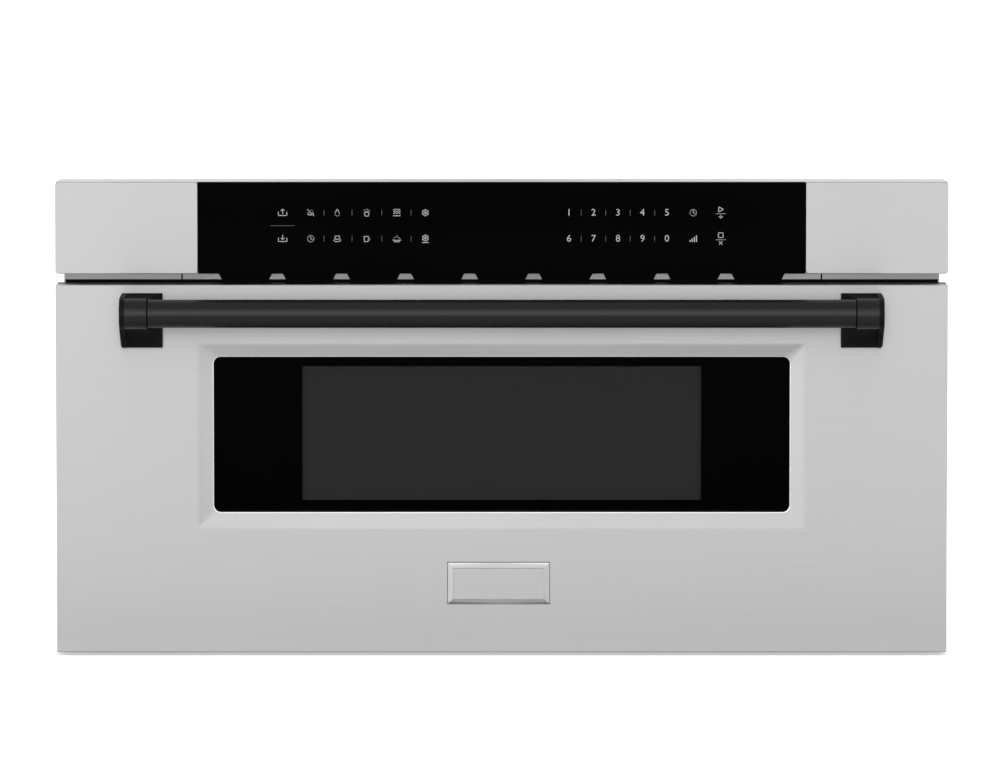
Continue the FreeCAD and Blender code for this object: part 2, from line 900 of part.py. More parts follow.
def make_waveguide():
    """Launch duct over the oven roof, from the magnetron to the stirrer."""
    y0 = stirrer_y - guide_width / 2
    guide = guide_solid(0).cut(guide_solid(guide_sheet))
    guide = guide.cut(cylinder(guide_hole, guide_height, V(0, stirrer_y, roof_z), Z_AXIS))
    launch = many_sided(12, antenna_radius + antenna_gap, guide_sheet,
                        V(magnetron_x, stirrer_y, roof_z), Z_AXIS)
    lugs = block(-guide_width - guide_lug, -guide_width, y0, y0 + guide_width, roof_z,
                 roof_z + cavity_sheet)
    return guide.cut(launch).fuse(lugs)


def make_magnetron():
    """Magnetron: yoke plates, cooling fins round the anode, antenna and filter box."""
    x0 = magnetron_x - magnetron_width / 2
    x1 = magnetron_x + magnetron_width / 2
    y0 = stirrer_y - magnetron_depth / 2
    y1 = stirrer_y + magnetron_depth / 2
    top = magnetron_top_z
    low = top - magnetron_height
    parts = [block(x0, x1, y0, y1, top - yoke_sheet, top),
             block(x0, x1, y0, y1, low, low + yoke_sheet),
             block(x0, x0 + yoke_sheet, y0, y1, low, top),
             block(x1 - yoke_sheet, x1, y0, y1, low, top),
             hex_bar(anode_radius, magnetron_height, V(magnetron_x, stirrer_y, low), Z_AXIS),
             many_sided(16, antenna_radius, antenna_height, V(magnetron_x, stirrer_y, top), Z_AXIS)]
    pitch = magnetron_height / (magnetron_fins + 1)
    for index in range(magnetron_fins):
        z = low + pitch * (index + 1)
        parts.append(block(x0, x1, y0 + fin_inset, y1 - fin_inset, z, z + fin_sheet))
    parts.append(block(x0 + filter_inset, x1 - filter_inset, y0 + fin_inset, y1 - fin_inset,
                       magnetron_bottom_z, low))
    return fused(parts)


def make_air_duct():
    """Tapered duct from the fan shroud to the magnetron's fins."""
    return duct_solid(0).cut(duct_solid(duct_sheet))


def duct_solid(wall):
    """Solid of the duct, which widens in both views and then runs straight, drawn in by a wall."""
    near = magnetron_width / 2 - wall
    far = fan_size / 2 - wall
    front_y = stirrer_y + magnetron_depth / 2
    back_y = inner_back_y - fan_depth
    throat_y = back_y - fan_motor_length - duct_throat
    top = magnetron_top_z - duct_sheet
    near_low = magnetron_top_z - magnetron_height + wall
    floor = fan_z - fan_size / 2
    x0 = fan_x - fan_size
    plan = prism([V(magnetron_x - near, front_y, floor), V(fan_x - far, throat_y, floor),
                  V(fan_x - far, back_y, floor), V(fan_x + far, back_y, floor),
                  V(fan_x + far, throat_y, floor), V(magnetron_x + near, front_y, floor)],
                 V(0, 0, top - floor))
    side = prism([V(x0, front_y, near_low), V(x0, throat_y, floor + wall), V(x0, back_y, floor + wall),
                  V(x0, back_y, top - wall), V(x0, front_y, top - wall)], V(2 * fan_size, 0, 0))
    return plan.common(side)


def make_fan_shroud():
    """Square fan frame on the rear cover, with the arms that carry the motor."""
    half = fan_size / 2
    y0 = inner_back_y - fan_depth
    frame = block(fan_x - half, fan_x + half, y0, inner_back_y, fan_z - half, fan_z + half)
    frame = frame.cut(cylinder(fan_bore, fan_depth, V(fan_x, y0, fan_z), Y_AXIS))
    for index in range(fan_arms):
        arm = block(2 * fan_arm, fan_bore + fan_arm, y0, y0 + fan_arm, -fan_arm, fan_arm)
        arm.rotate(V(0, 0, 0), Y_AXIS, 360 * index / fan_arms + 90)
        arm.translate(V(fan_x, 0, fan_z))
        frame = frame.fuse(arm)
    return frame.removeSplitter()


def make_fan_motor():
    """Shaded-pole fan motor on the shroud's arms: laminations, coil and the rotor shaft's bore."""
    y1 = inner_back_y - fan_depth
    y0 = y1 - fan_motor_length
    half = fan_motor_radius
    stack = block(fan_x - half, fan_x + half, y0 + fan_motor_length / 4, y1,
                  fan_z - half - stack_drop, fan_z + half)
    nose = block(fan_x - half / 2, fan_x + half / 2, y0, y1, fan_z - half / 2, fan_z + half / 2)
    coil_z = fan_z - half - coil_reach
    coil = block(fan_x - half - coil_reach, fan_x + half + coil_reach, y0 + fan_motor_length / 8, y1,
                 coil_z, coil_z + coil_height)
    coil = coil.makeChamfer(coil_chamfer, [e for e in coil.Edges if along_y(e)])
    bore = cylinder(fan_shaft + running_gap, fan_motor_length / 2,
                    V(fan_x, y1 - fan_motor_length / 2, fan_z), Y_AXIS)
    return fused([stack, nose, coil]).cut(bore)


def make_fan_rotor():
    """Rotor with pitched blades, a hub and its shaft."""
    tip = fan_bore - fan_tip_gap
    half_length = fan_hub_length / 2
    parts = [many_sided(20, fan_hub, fan_hub_length, V(0, 0, 0), Y_AXIS)]
    for index in range(fan_blades):
        blade = block(fan_hub - blade_root, tip - blade_root, -blade_sheet / 2, blade_sheet / 2,
                      -blade_half_chord, blade_half_chord)
        blade.rotate(V(0, 0, 0), X_AXIS, 90 - blade_pitch)
        blade.translate(V(0, half_length, 0))
        blade.rotate(V(0, 0, 0), Y_AXIS, 360 * index / fan_blades)
        parts.append(blade)
    rotor = fused(parts).common(cylinder(tip, fan_hub_length, V(0, 0, 0), Y_AXIS))
    shaft_start = shaft_end_gap - rotor_setback - fan_motor_length / 2
    shaft = cylinder(fan_shaft, half_length - shaft_start, V(0, shaft_start, 0), Y_AXIS)
    rotor = rotor.fuse(shaft)
    rotor.translate(V(fan_x, inner_back_y - fan_depth + rotor_setback, fan_z))
    return rotor


def make_stirrer_motor():
    """Flat synchronous motor on the waveguide, on its eared plate, with its shaft bearing."""
    z = roof_z + guide_height
    reach = stirrer_motor_radius + stirrer_ear
    ears = block(-reach, reach, stirrer_y - stirrer_ear, stirrer_y + stirrer_ear, z, z + stirrer_plate)
    body = many_sided(24, stirrer_motor_radius, stirrer_motor_height - stirrer_plate,
                      V(0, stirrer_y, z + stirrer_plate), Z_AXIS)
    bore = cylinder(stirrer_shaft + running_gap, stirrer_motor_height / 2, V(0, stirrer_y, z), Z_AXIS)
    return ears.fuse(body).cut(bore)


def make_stirrer_blade():
    """Stirrer: metal vanes on a hub and shaft, under the oven roof."""
    z = cavity_top_z - stirrer_drop
    inner = stirrer_hub + vane_tip
    parts = [hex_bar(stirrer_hub, stirrer_hub_height, V(0, 0, 0), Z_AXIS)]
    for index in range(stirrer_vanes):
        vane = block(0, stirrer_radius, -vane_half, vane_half, 0, stirrer_sheet)
        vane = vane.cut(block(inner, stirrer_radius - vane_tip, vane_border - vane_half,
                              vane_half - vane_border, 0, stirrer_sheet))
        vane.translate(V(0, 0, vane_lift))
        vane.rotate(V(0, 0, 0), Z_AXIS, 360 * index / stirrer_vanes)
        parts.append(vane)
    top = roof_z + guide_height + stirrer_motor_height / 2 - shaft_end_gap
    shaft = cylinder(stirrer_shaft, top - z, V(0, 0, 0), Z_AXIS)
    blade = fused(parts).fuse(shaft)
    blade.translate(V(0, stirrer_y, z))
    return blade


def make_stirrer_cover():
    """Shallow microwave-clear tray under the stirrer, seated on the oven roof."""
    half = stirrer_cover_size / 2
    z0 = cavity_top_z - stirrer_cover_depth
    tray = block(-half, half, stirrer_y - half, stirrer_y + half, z0, cavity_top_z)
    wall = stirrer_cover_sheet
    return tray.cut(block(-half + wall, half - wall, stirrer_y - half + wall, stirrer_y + half - wall,
                          z0 + wall, cavity_top_z))


def make_hv_transformer():
    """Laminated transformer with its winding and foot plate."""
    x0 = transformer_x - core_width / 2
    x1 = transformer_x + core_width / 2
    half = core_depth / 2
    wide = half + winding_reach
    z0 = pan_sheet + transformer_foot
    z1 = z0 + core_height
    base = block(x0, x1, transformer_y - wide, transformer_y + wide, pan_sheet, z0)
    core = block(x0, x1, transformer_y - half, transformer_y + half, z0, z1)
    winding = block(x0 + core_leg, x1 - core_leg, transformer_y - wide, transformer_y + wide,
                    z0 + core_leg, z1 - core_leg)
    winding = winding.makeChamfer(winding_chamfer, [e for e in winding.Edges if vertical(e)])
    return fused([base, core, winding])


def vertical(edge):
    """True for a straight edge along Z."""
    a, b = edge.Vertexes[0].Point, edge.Vertexes[-1].Point
    return abs(a.x - b.x) < 1e-6 and abs(a.y - b.y) < 1e-6


def make_hv_capacitor():
    """Oval capacitor can on the base pan, in its strap, with two terminals."""
    y = capacitor_y
    top = pan_sheet + capacitor_height
    parts = []
    for x in (capacitor_x - capacitor_half, capacitor_x + capacitor_half):
        parts.append(many_sided(16, capacitor_radius, capacitor_height, V(x, y, pan_sheet), Z_AXIS))
        parts.append(block(x - terminal_half, x + terminal_half, y - terminal_half / 5,
                           y + terminal_half / 5, top, top + terminal_height))
    parts.append(block(capacitor_x - capacitor_half, capacitor_x + capacitor_half,
                       y - capacitor_radius, y + capacitor_radius, pan_sheet, top))
    reach = capacitor_half + capacitor_radius + strap_reach
    strap = block(capacitor_x - reach, capacitor_x + reach, y - strap_half, y + strap_half,
                  pan_sheet, pan_sheet + strap_sheet)
    return fused(parts + [strap])


def make_cavity_lamp():
    """Lamp holder and bulb housing on the oven's back wall."""
    z = cavity_top_z - lamp_drop
    y = cavity_back_y + cavity_sheet
    plate = block(lamp_x - lamp_plate_half, lamp_x + lamp_plate_half, y, y + lamp_plate,
                  z - lamp_plate_rise, z + lamp_plate_rise)
    holder = block(lamp_x - lamp_half, lamp_x + lamp_half, y, y + lamp_length,
                   z - lamp_half, z + lamp_half)
    holder = holder.makeChamfer(lamp_chamfer, [e for e in holder.Edges if along_y(e)])
    return plate.fuse(holder)


def make_thermal_cutouts():
    """Two disc cut-outs: one on the oven roof and one on the oven's side wall."""
    roof = many_sided(12, cutout_radius, cutout_height, V(roof_cutout_x, roof_cutout_y, roof_z), Z_AXIS)
    wall = V(cavity_half + cavity_sheet, side_cutout_y, cavity_top_z - side_cutout_drop)
    side = many_sided(12, cutout_radius, cutout_height, wall, X_AXIS)
    box = roof.BoundBox
    roof_ears = block(box.XMin - cutout_ear, box.XMax + cutout_ear, roof_cutout_y - cutout_half,
                      roof_cutout_y + cutout_half, roof_z, roof_z + cutout_sheet)
    box = side.BoundBox
    side_ears = block(wall.x, wall.x + cutout_sheet, box.YMin - cutout_ear, box.YMax + cutout_ear,
                      wall.z - cutout_half, wall.z + cutout_half)
    return Part.makeCompound([roof.fuse(roof_ears), side.fuse(side_ears)])


# ---- Interlocks ----------------------------------------------------------------------------------

def latch_heights():
    """Height of each latch prong."""
    return (latch_low_z, latch_low_z + latch_pitch)


def make_latch_prongs():
    """Plate with two tapered prongs on the drawer's back."""
    low, high = latch_heights()
    parts = [block(-latch_x - latch_margin, -latch_x + latch_margin, drawer_back_y,
                   drawer_back_y + latch_sheet, low - latch_margin, high + latch_margin)]
    x0 = -latch_x - latch_half / 2
    for z in (low, high):
        outline = [V(x0, drawer_back_y, z - latch_half),
                   V(x0, drawer_back_y + latch_length, z - latch_half / 2),
                   V(x0, drawer_back_y + latch_length, z + latch_half / 2),
                   V(x0, drawer_back_y, z + latch_half)]
        parts.append(prism(outline, V(latch_half, 0, 0)))
    return fused(parts)


def make_switch_bracket():
    """Moulded holder of the interlock switches, behind the front frame."""
    low, high = latch_heights()
    x1 = -latch_x - latch_half - switch_gap
    x0 = x1 - switch_wall
    z0 = low - switch_margin
    z1 = high + switch_margin
    plate = block(x0, x1, body_front_y, body_front_y + latch_length + switch_reach, z0, z1)
    flange = block(x0 - switch_flange, x1, body_front_y, body_front_y + switch_wall, z0, z1)
    return plate.fuse(flange)


def make_interlock_switches():
    """Switches that the latch prongs press, on the inner side of their holder."""
    x0 = -latch_x - latch_half - switch_gap
    y0 = drawer_back_y + latch_length + shaft_end_gap
    y1 = y0 + button_stroke
    mid_x = x0 + switch_width / 2
    half = button_size / 2
    switches = []
    for z in latch_heights():
        body = block(x0, x0 + switch_width, y1, y1 + switch_length, z - switch_height / 2,
                     z + switch_height / 2)
        button = block(mid_x - half, mid_x + half, y0, y1, z - half, z + half)
        switches.append(body.fuse(button))
    return Part.makeCompound(switches)


# ---- Control panel -------------------------------------------------------------------------------

def panel_plan(front, back, inset):
    """Outline of the panel seen from above: its ends draw in towards the back."""
    lean = end_draft / (frame_face_y - face_y)
    front_half = half_face - inset - lean * (front - face_y)
    back_half = half_face - inset - lean * (back - face_y)
    return [V(-front_half, front, 0), V(front_half, front, 0), V(back_half, back, 0),
            V(-back_half, back, 0)]


def panel_solid(front, back, inset, z0, z1):
    """Panel body between two heights."""
    solid = prism(panel_plan(front, back, inset), V(0, 0, z1 - z0))
    solid.translate(V(0, 0, z0))
    return solid


def make_control_housing():
    """Folded housing behind the touch glass: top, bottom, ends and back."""
    shell = panel_solid(shell_front_y, frame_face_y, 0, panel_bottom_z, panel_top_z)
    hollow = panel_solid(shell_front_y, frame_face_y - panel_sheet, panel_sheet,
                         panel_bottom_z + panel_sheet, panel_top_z - panel_sheet)
    shell = shell.cut(hollow)
    return shell.cut(cable_slot(frame_face_y - panel_sheet, frame_face_y))


def make_panel_cap():
    """Right end cap: pressed plate beside the touch glass, with a softened inner edge."""
    plate = panel_solid(face_y, shell_front_y, 0, panel_bottom_z, panel_top_z)
    plate = plate.common(block(cap_inner_x, half_face, face_y, shell_front_y,
                               panel_bottom_z, panel_top_z))
    edges = [e for e in plate.Edges if vertical(e) and abs(e.Vertexes[0].Point.x - cap_inner_x) < 0.1
             and abs(e.Vertexes[0].Point.y - face_y) < 0.1]
    plate = plate.makeFillet(cap_edge, edges)
    hollow = block(cap_inner_x + cap_wall, half_face - end_draft - cap_wall, face_y + panel_sheet,
                   shell_front_y, panel_bottom_z + cap_wall, panel_top_z - cap_wall)
    return plate.cut(hollow)


def make_touch_glass():
    """Black glass between the end caps."""
    half = cap_inner_x - glass_gap
    glass = block(-half, half, face_y, shell_front_y, panel_bottom_z, panel_top_z)
    edges = [e for e in glass.Edges if abs(e.CenterOfMass.y - face_y) < 0.01 and not vertical(e)]
    return glass.makeChamfer(glass_edge, edges)


def make_control_board():
    """Control circuit board on standoffs inside the housing."""
    centre = (panel_bottom_z + panel_top_z) / 2
    y1 = shell_front_y + board_setback + board_thickness
    half = board_width / 2
    low = centre - board_height / 2
    high = centre + board_height / 2
    parts = [block(-half, half, y1 - board_thickness, y1, low, high)]
    for x in (-half + post_inset, half - post_inset):
        for z in (low + 2 * post_half, high - 2 * post_half):
            parts.append(block(x - post_half, x + post_half, y1, frame_face_y - panel_sheet,
                               z - post_half, z + post_half))
    chip = board_height / 5
    for x in (-half / 2, half / 2):
        parts.append(block(x - 2 * chip, x + 2 * chip, y1, y1 + chip_height, centre - chip, centre + chip))
    return fused(parts)


def make_display_module():
    """Display between the glass and the board."""
    centre = (panel_bottom_z + panel_top_z) / 2
    half = display_width / 2
    rise = display_height / 2
    y1 = shell_front_y + display_bezel
    front = block(-half, half, shell_front_y, y1, centre - rise, centre + rise)
    rim = 2 * display_bezel
    stem = block(-half + rim, half - rim, y1, shell_front_y + board_setback, centre - rise + rim,
                 centre + rise - rim)
    return front.fuse(stem)


def make_filter_board():
    """Power board on the cabinet's left wall, with its relays and choke coil."""
    y0 = filter_front_y
    y1 = y0 + filter_length
    z0 = filter_low_z
    z1 = z0 + filter_height
    x0 = -inner_half_body + filter_stand
    x1 = x0 + board_thickness
    parts = [block(x0, x1, y0, y1, z0, z1)]
    for y in (y0 + post_inset, y1 - post_inset):
        for z in (z0 + post_inset, z1 - post_inset):
            parts.append(block(-inner_half_body, x0, y - post_half, y + post_half,
                               z - post_half, z + post_half))
    for index in (0, 1):
        y = y0 + relay_width + index * relay_pitch
        parts.append(block(x1, x1 + relay_depth, y, y + relay_width, z1 - post_inset - relay_height,
                           z1 - post_inset))
    corner = 2 * post_inset + coil_radius
    parts.append(many_sided(12, coil_radius, coil_length, V(x1, y1 - corner, z0 + corner), X_AXIS))
    return fused(parts)


def make_power_gland():
    """Cable gland in the rear cover: flange and cap nut outside, lock nut inside."""
    y = body_back_y
    start = V(gland_x, inner_back_y - gland_inside, gland_z)
    flange = hex_bar(gland_hex, gland_nut, V(gland_x, y, gland_z), Y_AXIS)
    nose = hex_bar(gland_hex - gland_step, gland_length - gland_nut, V(gland_x, y + gland_nut, gland_z),
                   Y_AXIS)
    neck = hex_bar(gland_body, rear_sheet, V(gland_x, inner_back_y, gland_z), Y_AXIS)
    inside = hex_bar(gland_hex, gland_inside, start, Y_AXIS)
    bore = cylinder(gland_bore, gland_length + rear_sheet + gland_inside, start, Y_AXIS)
    return flange.fuse([nose, neck, inside]).cut(bore)


def make_chassis_screws():
    """Screws that hold the rear cover to the base pan and the cabinet wrap."""
    inset = base_screw_inset
    half = inner_half_body - inset
    low = pan_flange + inset
    high = body_height - inset
    places = [(-half, low), (half, low), (-half, high), (half, high), (-half / 3, high), (half / 3, high)]
    return Part.makeCompound([hex_bar(base_screw_radius, base_screw_head, V(x, body_back_y, z), Y_AXIS)
                              for x, z in places])


# ---- Drawer front ----------------------------------------------------------------------------------

def window_frustum(grow, front, back):
    """Solid inside the window's bevel, between two depths, grown outwards by a wall."""
    def wire(share, y):
        side = bevel_half + (glass_half - bevel_half) * share + grow
        low = bevel_low_z + bevel_bottom * share - grow
        high = bevel_high_z - bevel_top * share + grow
        corner = bevel_corner + (glass_corner - bevel_corner) * share + grow
        return round_rect(-side, side, low, high, corner, y)

    share_front = (front - face_y) / bevel_depth
    share_back = (back - face_y) / bevel_depth
    return Part.makeLoft([wire(share_front, front), wire(share_back, back)], True, True)


def make_drawer_skin():
    """Pressed stainless front: softened edges, deep returns and the bevelled window frame."""
    outer = block(-half_face, half_face, face_y, drawer_back_y, drawer_bottom_z, drawer_top_z)
    edges = [e for e in outer.Edges if abs(e.CenterOfMass.y - face_y) < 0.01]
    outer = outer.makeChamfer(skin_edge, edges)
    t = skin_sheet
    hollow = block(-half_face + t, half_face - t, skin_inner_y, drawer_back_y,
                   drawer_bottom_z + t, drawer_top_z - t)
    skin = outer.cut(hollow)
    bevel = window_frustum(t, skin_inner_y - t / 2, glass_front_y)
    skin = skin.fuse(bevel)
    return skin.cut(window_frustum(0, face_y, glass_front_y)).removeSplitter()


def make_window_glass():
    """Outer window glass, clipped behind the bevel."""
    lap = glass_lap
    wire = round_rect(-glass_half - lap, glass_half + lap, glass_centre_z - half_glass_height - lap,
                      glass_centre_z + half_glass_height + lap, glass_corner + lap, glass_front_y)
    return slab(wire, V(0, glass_thickness, 0))


def make_window_screen():
    """Perforated screen behind the glass: a pressed sheet with a raised border."""
    half_w = screen_width / 2
    half_h = screen_height / 2
    y0 = screen_y
    border = screen_border
    outer = block(-half_w - border, half_w + border, y0, y0 + screen_sheet + screen_step,
                  glass_centre_z - half_h - border, glass_centre_z + half_h + border)
    recess = block(-half_w, half_w, y0 + screen_sheet, y0 + screen_sheet + screen_step,
                   glass_centre_z - half_h, glass_centre_z + half_h)
    return outer.cut(recess)


def make_inner_pane():
    """Inner window pane on the oven side, seated in the choke ring."""
    half_w = screen_width / 2 + screen_border
    half_h = screen_height / 2 + screen_border
    y0 = choke_front_y + choke_sheet
    return block(-half_w, half_w, y0, y0 + inner_pane_thickness,
                 glass_centre_z - half_h, glass_centre_z + half_h)


def make_inner_panel():
    """Back panel of the drawer front, with the window opening and a folded rim."""
    t = skin_sheet
    x1 = half_face - t
    z0 = drawer_bottom_z + t
    z1 = drawer_top_z - t
    y0 = panel_back_y - panel_rim
    panel = block(-x1, x1, y0, drawer_back_y, z0, z1)
    panel = panel.cut(block(-x1 + t, x1 - t, y0, drawer_back_y - choke_sheet,
                            z0 + t, z1 - t))
    opening = block(-choke_outer, choke_outer, drawer_back_y - choke_sheet, drawer_back_y,
                    choke_low_z, choke_high_z)
    return panel.cut(opening)


def make_choke_ring():
    """Pressed choke: a trough round the oven mouth and the plate that carries the window."""
    y0 = choke_front_y
    t = choke_sheet
    trough = block(-choke_outer, choke_outer, y0, drawer_back_y, choke_low_z, choke_high_z)
    trough = trough.cut(block(-choke_outer + t, choke_outer - t, y0 + t, drawer_back_y,
                              choke_low_z + t, choke_high_z - t))
    wall_half = cavity_half - tub_side_gap
    low = cavity_floor_z + tub_floor_gap
    high = cavity_top_z - tub_floor_gap
    inner = block(-wall_half, wall_half, y0, drawer_back_y - choke_cover, low, high)
    inner = inner.cut(block(-wall_half + t, wall_half - t, y0, drawer_back_y, low + t, high - t))
    half_w = screen_width / 2
    half_h = screen_height / 2
    opening = block(-half_w, half_w, y0, y0 + t, glass_centre_z - half_h, glass_centre_z + half_h)
    return trough.fuse(inner).cut(opening)


def make_choke_cover():
    """Dark moulded cover over the choke trough, with the window's inner opening."""
    y0 = drawer_back_y - choke_cover
    t = choke_sheet
    cover = block(-choke_outer + t, choke_outer - t, y0, drawer_back_y, choke_low_z + t,
                  choke_high_z - t)
    half_w = screen_width / 2 + screen_border
    half_h = screen_height / 2 + screen_border
    opening = block(-half_w, half_w, y0, drawer_back_y, glass_centre_z - half_h,
                    glass_centre_z + half_h)
    return cover.cut(opening)


# ---- Handle --------------------------------------------------------------------------------------

def make_handle_tube():
    """Handle tube, held in the two brackets' sockets."""
    half = bracket_outer_x - socket_floor
    start = V(-half, tube_y, tube_axis_z)
    return ring(tube_radius, tube_radius - tube_wall, 2 * half, start, X_AXIS)


def bracket_side():
    """Side outline of a bracket: foot on the drawer, scoops above and below, round nose."""
    low = bracket_centre_z - bracket_height / 2
    high = bracket_centre_z + bracket_height / 2
    foot_y = face_y - bracket_base
    r = socket_radius
    top = V(0, tube_y, tube_axis_z + r)
    nose = V(0, tube_y - r, tube_axis_z)
    under = V(0, tube_y, tube_axis_z - r)
    foot_top = V(0, foot_y, high)
    foot_low = V(0, foot_y, low)
    upper_mid = V(0, (foot_y + tube_y) / 2, min(high, tube_axis_z + r) - scoop_dip)
    lower_mid = V(0, foot_y + (tube_y - foot_y) * scoop_share, low + (under.z - low) * scoop_rise)
    edges = [Part.makeLine(V(0, face_y, low), foot_low),
             Part.Arc(foot_low, lower_mid, under).toShape(),
             Part.Arc(under, nose, top).toShape(),
             Part.Arc(top, upper_mid, foot_top).toShape(),
             Part.makeLine(foot_top, V(0, face_y, high)),
             Part.makeLine(V(0, face_y, high), V(0, face_y, low))]
    return Part.Face(Part.Wire(edges))


def bracket_plan(low, high):
    """Plan outline of the right bracket: straight outer cheek, and a flare to the inner foot edge."""
    foot_y = face_y - bracket_base
    front_y = tube_y - socket_radius
    mouth_y = tube_y + socket_radius
    start = V(bracket_inner_x, foot_y, low)
    end = V(socket_mouth_x, mouth_y, low)
    middle = V(bracket_inner_x + (socket_mouth_x - bracket_inner_x) * flare_share,
               foot_y + (mouth_y - foot_y) * flare_rise, low)
    edges = [Part.makeLine(V(bracket_inner_x, face_y, low), start),
             Part.Arc(start, middle, end).toShape(),
             Part.makeLine(end, V(socket_mouth_x, front_y, low)),
             Part.makeLine(V(socket_mouth_x, front_y, low), V(bracket_outer_x, front_y, low)),
             Part.makeLine(V(bracket_outer_x, front_y, low), V(bracket_outer_x, face_y, low)),
             Part.makeLine(V(bracket_outer_x, face_y, low), V(bracket_inner_x, face_y, low))]
    return Part.Face(Part.Wire(edges)).extrude(V(0, 0, high - low))


def make_handle_bracket():
    """Cast bracket of the right end: foot, scooped neck, flare and tube socket."""
    low = bracket_centre_z - bracket_height / 2
    high = max(bracket_centre_z + bracket_height / 2, tube_axis_z + socket_radius)
    side = bracket_side().extrude(V(bracket_width, 0, 0))
    side.translate(V(bracket_inner_x, 0, 0))
    bracket = side.common(bracket_plan(low, high))
    corners = [e for e in bracket.Edges if along_y(e) and e.Vertexes[0].Point.x > bracket_outer_x - 0.1]
    bracket = bracket.makeChamfer(bracket_corner, corners)
    depth = bracket_outer_x - socket_floor - socket_mouth_x
    socket = cylinder(tube_radius, depth, V(socket_mouth_x, tube_y, tube_axis_z), X_AXIS)
    return bracket.cut(socket)


def along_y(edge):
    """True for a straight edge along Y."""
    a, b = edge.Vertexes[0].Point, edge.Vertexes[-1].Point
    return abs(a.x - b.x) < 1e-6 and abs(a.z - b.z) < 1e-6 and abs(a.y - b.y) > 1e-3


def make_handle_screws():
    """Two screws behind each bracket, through the front skin."""
    centre_x = (bracket_outer_x + bracket_inner_x) / 2
    screws = []
    for side in (-1, 1):
        for z in (bracket_centre_z - screw_pitch / 2, bracket_centre_z + screw_pitch / 2 - screw_drop):
            head = V(side * centre_x, skin_inner_y, z)
            screws.append(hex_bar(screw_head_radius, screw_head, head, Y_AXIS))
    return Part.makeCompound(screws)


# ---- Drawer tub ----------------------------------------------------------------------------------

def level_rect(half_x, y0, y1, radius, z):
    """Wire of a rounded rectangle that lies level."""
    corners = [(half_x - radius, y1 - radius, 0), (-half_x + radius, y1 - radius, 90),
               (-half_x + radius, y0 + radius, 180), (half_x - radius, y0 + radius, 270)]
    arcs = []
    for cx, cy, start in corners:
        points = []
        for step in (0, 45, 90):
            angle = math.radians(start + step)
            points.append(V(cx + radius * math.cos(angle), cy + radius * math.sin(angle), z))
        arcs.append(Part.Arc(*points).toShape())
    edges = []
    for index, arc in enumerate(arcs):
        following = arcs[(index + 1) % len(arcs)]
        edges += [arc, Part.makeLine(arc.Vertexes[-1].Point, following.Vertexes[0].Point)]
    return Part.Wire(edges)


def tub_body(wall, z0, z1):
    """Tapered solid of the tub, drawn in by a wall."""
    def wire(z):
        share = (z - tub_bottom_z) / tub_wall_height
        side = tub_half - tub_rim - tub_draft * (1 - share) - wall
        front = drawer_back_y + tub_draft * (1 - share) + wall
        back = tub_back_y - tub_rim - tub_draft * (1 - share) - wall
        return level_rect(side, front, back, tub_corner - wall, z)

    return Part.makeLoft([wire(z0), wire(z1)], True, True)


def make_drawer_tub():
    """Oven tub that the food stands in: drafted walls, round corners and a turned rim."""
    outer = tub_body(0, tub_bottom_z, tub_top_z)
    inner = tub_body(tub_sheet, tub_bottom_z + tub_sheet, tub_top_z)
    rim = slab(level_rect(tub_half, drawer_back_y, tub_back_y, tub_corner + tub_rim,
                          tub_top_z - tub_sheet), V(0, 0, tub_sheet))
    rim = rim.cut(tub_body(tub_sheet, tub_top_z - 2 * tub_sheet, tub_top_z))
    return outer.cut(inner).fuse(rim).removeSplitter()


def make_ceramic_plate():
    """Flat ceramic floor plate in the tub."""
    z0 = tub_bottom_z + tub_sheet
    share = (z0 - tub_bottom_z) / tub_wall_height
    drawn = tub_rim + tub_draft * (1 - share) + tub_sheet + tray_gap
    wire = level_rect(tub_half - drawn, drawer_back_y + drawn - tub_rim, tub_back_y - drawn,
                      tub_corner - tub_sheet - tray_gap, z0)
    return slab(wire, V(0, 0, tray_thickness))


# ---- Write every node ----------------------------------------------------------------------------

